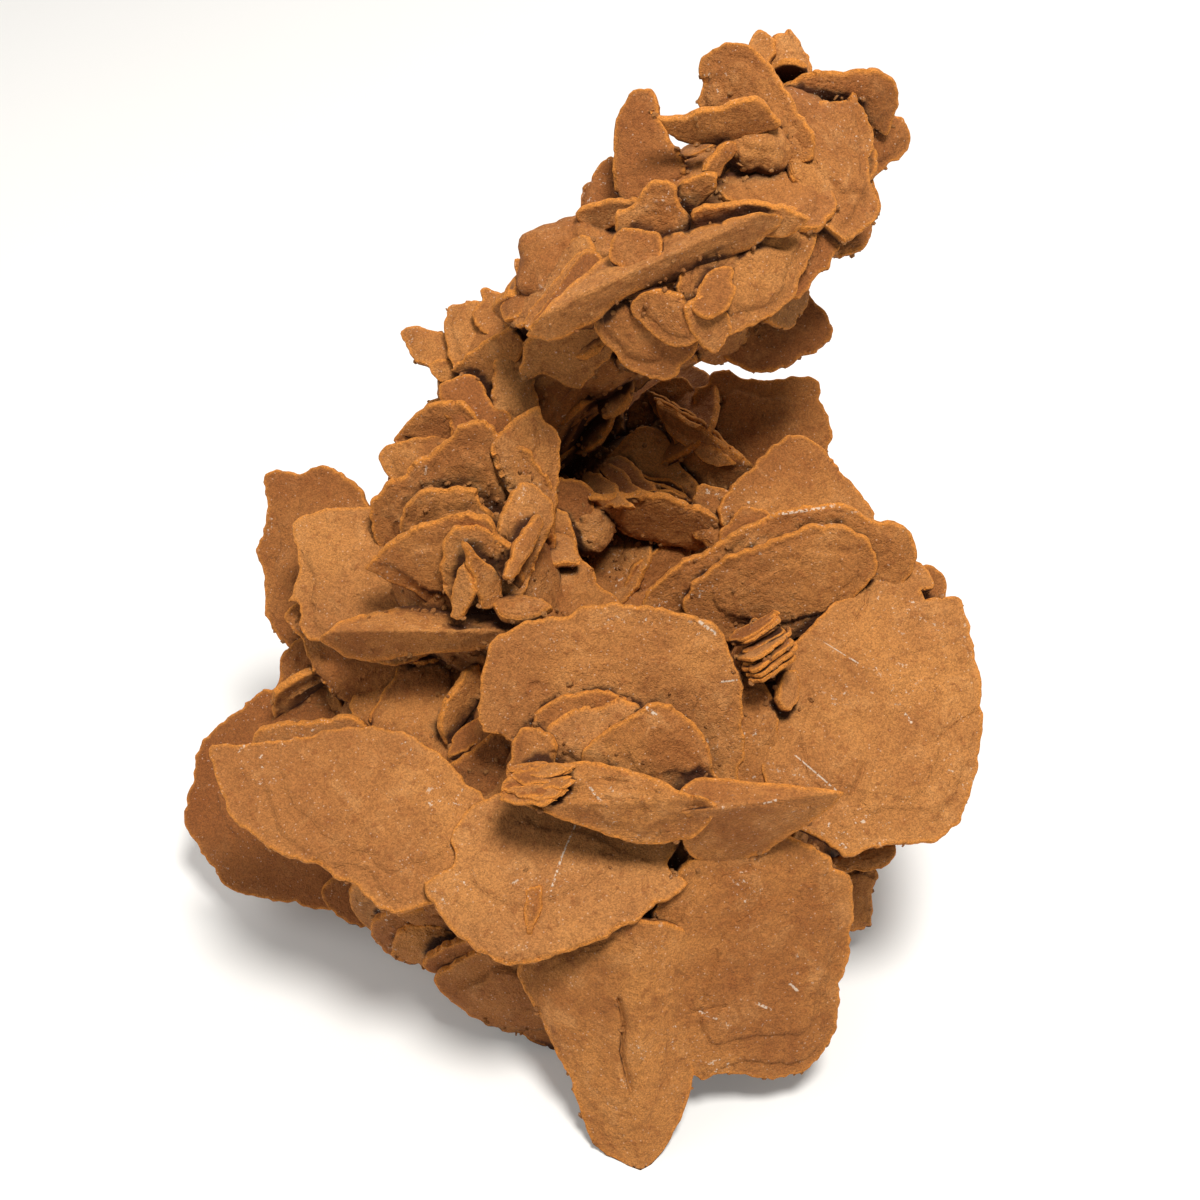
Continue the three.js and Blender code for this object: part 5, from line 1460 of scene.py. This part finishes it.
class SandRoseSettings(bpy.types.PropertyGroup):
    """What can be changed about the rose's looks."""

    crumb_density: bpy.props.FloatProperty(
        name="Crumb density", description="Crumbs per square metre where the crevices are deepest",
        default=320000.0, min=0.0)
    crumb_seed: bpy.props.IntProperty(
        name="Crumb seed", description="Which of the many ways to strew the crumbs", default=7)
    scale_seed: bpy.props.IntProperty(
        name="Scale seed", description="Which of the many ways to place the small far blades", default=41)
    light_power: bpy.props.FloatProperty(
        name="Light power", description="Power of the soft lamp over the rose, in watts", default=9.0, min=0.0)


class BladeOperator:
    """Shared by the operators that build blades: makes each piece from its blades."""

    bl_options = {"REGISTER", "UNDO"}

    def execute(self, context):
        for name, blades in self.blades():
            make_piece(name, [blade.mesh() for blade in blades])
        return {"FINISHED"}


class SANDROSE_OT_spire(BladeOperator, bpy.types.Operator):
    """Build the blades of the spire and its shoulder"""

    bl_idname = "sandrose.spire"
    bl_label = "Spire blades"

    def blades(self):
        yield "spire_tip_blades", seen_blades(SPIRE_TOP)
        yield "spire_middle_blades", (seen_blades(SPIRE_MIDDLE, SMALL_SPIRE) + [folded_blade("spindle")]
                                      + stacked_blades("shoulder"))
        yield "left_shoulder_blades", seen_blades(LEFT_SHOULDER)


class SANDROSE_OT_left(BladeOperator, bpy.types.Operator):
    """Build the rosette and the plates of the left side"""

    bl_idname = "sandrose.left"
    bl_label = "Left side blades"

    def blades(self):
        yield "left_rosette_blades", seen_blades(LEFT_ROSETTE)
        yield "left_plates", seen_blades(LEFT_PLATES) + [folded_blade("ledge")]
        yield "lower_left_plates", seen_blades(LOWER_LEFT)


class SANDROSE_OT_front(BladeOperator, bpy.types.Operator):
    """Build the plates, the spear and the petals of the front"""

    bl_idname = "sandrose.front"
    bl_label = "Front blades"

    def blades(self):
        yield "front_plates", seen_blades(FRONT) + [folded_blade("spear")]
        yield "middle_petals", (seen_blades(MIDDLE, SMALL_BODY) + [folded_blade("spur"), folded_blade("rough_back")]
                               + stacked_blades("rough_end"))


class SANDROSE_OT_right(BladeOperator, bpy.types.Operator):
    """Build the great discs of the right side and the blades behind them"""

    bl_idname = "sandrose.right"
    bl_label = "Right side blades"

    def blades(self):
        yield "right_discs", seen_blades(RIGHT_ROSETTE) + stacked_blades("knot")
        yield "back_right_blades", (seen_blades(BACK_RIGHT) + stacked_blades("hollow_edges")
                                   + stacked_blades("spur_layers") + stacked_blades("mid_layers"))


class SANDROSE_OT_far_side(BladeOperator, bpy.types.Operator):
    """Build the blades of the back, the sides and the underside"""

    bl_idname = "sandrose.far_side"
    bl_label = "Far side blades"

    def blades(self):
        yield "far_side_blades", hidden_blades(HIDDEN_PER_LUMP, HIDDEN_REACH, HIDDEN_LEAN, HIDDEN_DEPTH,
                                               HIDDEN_THICK, HIDDEN_SEED)
        yield "far_side_scales", hidden_blades(FAR_SCALES_PER_LUMP, FAR_SCALE_REACH, FAR_SCALE_LEAN,
                                               FAR_SCALE_DEPTH, FAR_SCALE_THICK, settings().scale_seed)


class SANDROSE_OT_heart(bpy.types.Operator):
    """Build the sandy heart that shows deep between the blades"""

    bl_idname = "sandrose.heart"
    bl_label = "Sandy heart"
    bl_options = {"REGISTER", "UNDO"}

    def execute(self, context):
        shells = [heart_mesh(BODY_HEART, 6, 5), heart_mesh(SPIRE_HEART, 6, 9)]
        shells += [knot_mesh(*knot, seed=30 + index) for index, knot in enumerate(SAND_KNOTS)]
        make_piece("sandy_heart", shells)
        return {"FINISHED"}


class SANDROSE_OT_crumbs(bpy.types.Operator):
    """Mark the crevices and strew crumbs of sand in them"""

    bl_idname = "sandrose.crumbs"
    bl_label = "Crumbs"
    bl_options = {"REGISTER", "UNDO"}

    def execute(self, context):
        pieces = [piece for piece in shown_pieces() if "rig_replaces" in piece]
        mark_crevices(pieces)
        scatter_crumbs(pieces, settings().crumb_density, settings().crumb_seed)
        return {"FINISHED"}


class SANDROSE_OT_stage(bpy.types.Operator):
    """Set the floor, the lights and the camera"""

    bl_idname = "sandrose.stage"
    bl_label = "Stage"
    bl_options = {"REGISTER", "UNDO"}

    def execute(self, context):
        scene = context.scene
        bpy.ops.mesh.primitive_plane_add(size=FLOOR_SIZE, location=(0, 0, 0))
        floor = context.object
        floor.name = "floor"
        floor.data.materials.append(floor_material())
        floor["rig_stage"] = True
        world = bpy.data.worlds.new("soft_white")
        world.use_nodes = True
        background = world.node_tree.nodes["Background"].inputs
        background["Color"].default_value = WORLD_COLOUR
        background["Strength"].default_value = WORLD_STRENGTH
        scene.world = world
        for name, place, size, share, colour in LAMPS:
            data = bpy.data.lights.new(name, "AREA")
            data.shape = "DISK"
            data.size = size
            data.energy = settings().light_power * share
            data.color = colour
            lamp = bpy.data.objects.new(name, data)
            lamp.location = place
            lamp.rotation_euler = (Vector(LAMPS_AIM) - Vector(place)).to_track_quat("-Z", "Y").to_euler()
            scene.collection.objects.link(lamp)
            lamp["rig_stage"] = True
        data = bpy.data.cameras.new("camera")
        half_view = math.atan(PICTURE_MIDDLE * MM_PER_POINT / EYE_DISTANCE)
        data.lens = data.sensor_width / 2 / math.tan(half_view)
        data.dof.use_dof = False
        camera = bpy.data.objects.new("camera", data)
        camera.location = EYE * MM
        camera.rotation_euler = Vector((LOOKED_AT - EYE) * MM).to_track_quat("-Z", "Y").to_euler()
        scene.collection.objects.link(camera)
        scene.camera = camera
        scene.view_settings.view_transform = "Standard"
        return {"FINISHED"}


class SANDROSE_PT_panel(bpy.types.Panel):
    """The sand rose's operators and settings"""

    bl_idname = "SANDROSE_PT_panel"
    bl_label = "Sand rose"
    bl_space_type = "VIEW_3D"
    bl_region_type = "UI"
    bl_category = "Sand rose"

    def draw(self, context):
        for operator in OPERATORS:
            self.layout.operator(operator.bl_idname)
        for key in SandRoseSettings.__annotations__:
            self.layout.prop(context.scene.sand_rose_settings, key)


OPERATORS = (SANDROSE_OT_spire, SANDROSE_OT_left, SANDROSE_OT_front, SANDROSE_OT_right, SANDROSE_OT_far_side,
             SANDROSE_OT_heart, SANDROSE_OT_crumbs, SANDROSE_OT_stage)
CLASSES = (SandRoseSettings, *OPERATORS, SANDROSE_PT_panel)


def register():
    for each in CLASSES:
        bpy.utils.register_class(each)
    bpy.types.Scene.sand_rose_settings = bpy.props.PointerProperty(type=SandRoseSettings)


def unregister():
    del bpy.types.Scene.sand_rose_settings
    for each in reversed(CLASSES):
        bpy.utils.unregister_class(each)


def main():
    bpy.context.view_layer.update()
    register()
    bpy.ops.sandrose.spire()
    bpy.ops.sandrose.left()
    bpy.ops.sandrose.front()
    bpy.ops.sandrose.right()
    bpy.ops.sandrose.far_side()
    bpy.ops.sandrose.heart()
    bpy.ops.sandrose.crumbs()
    bpy.ops.sandrose.stage()


if __name__ == "__main__":
    main()
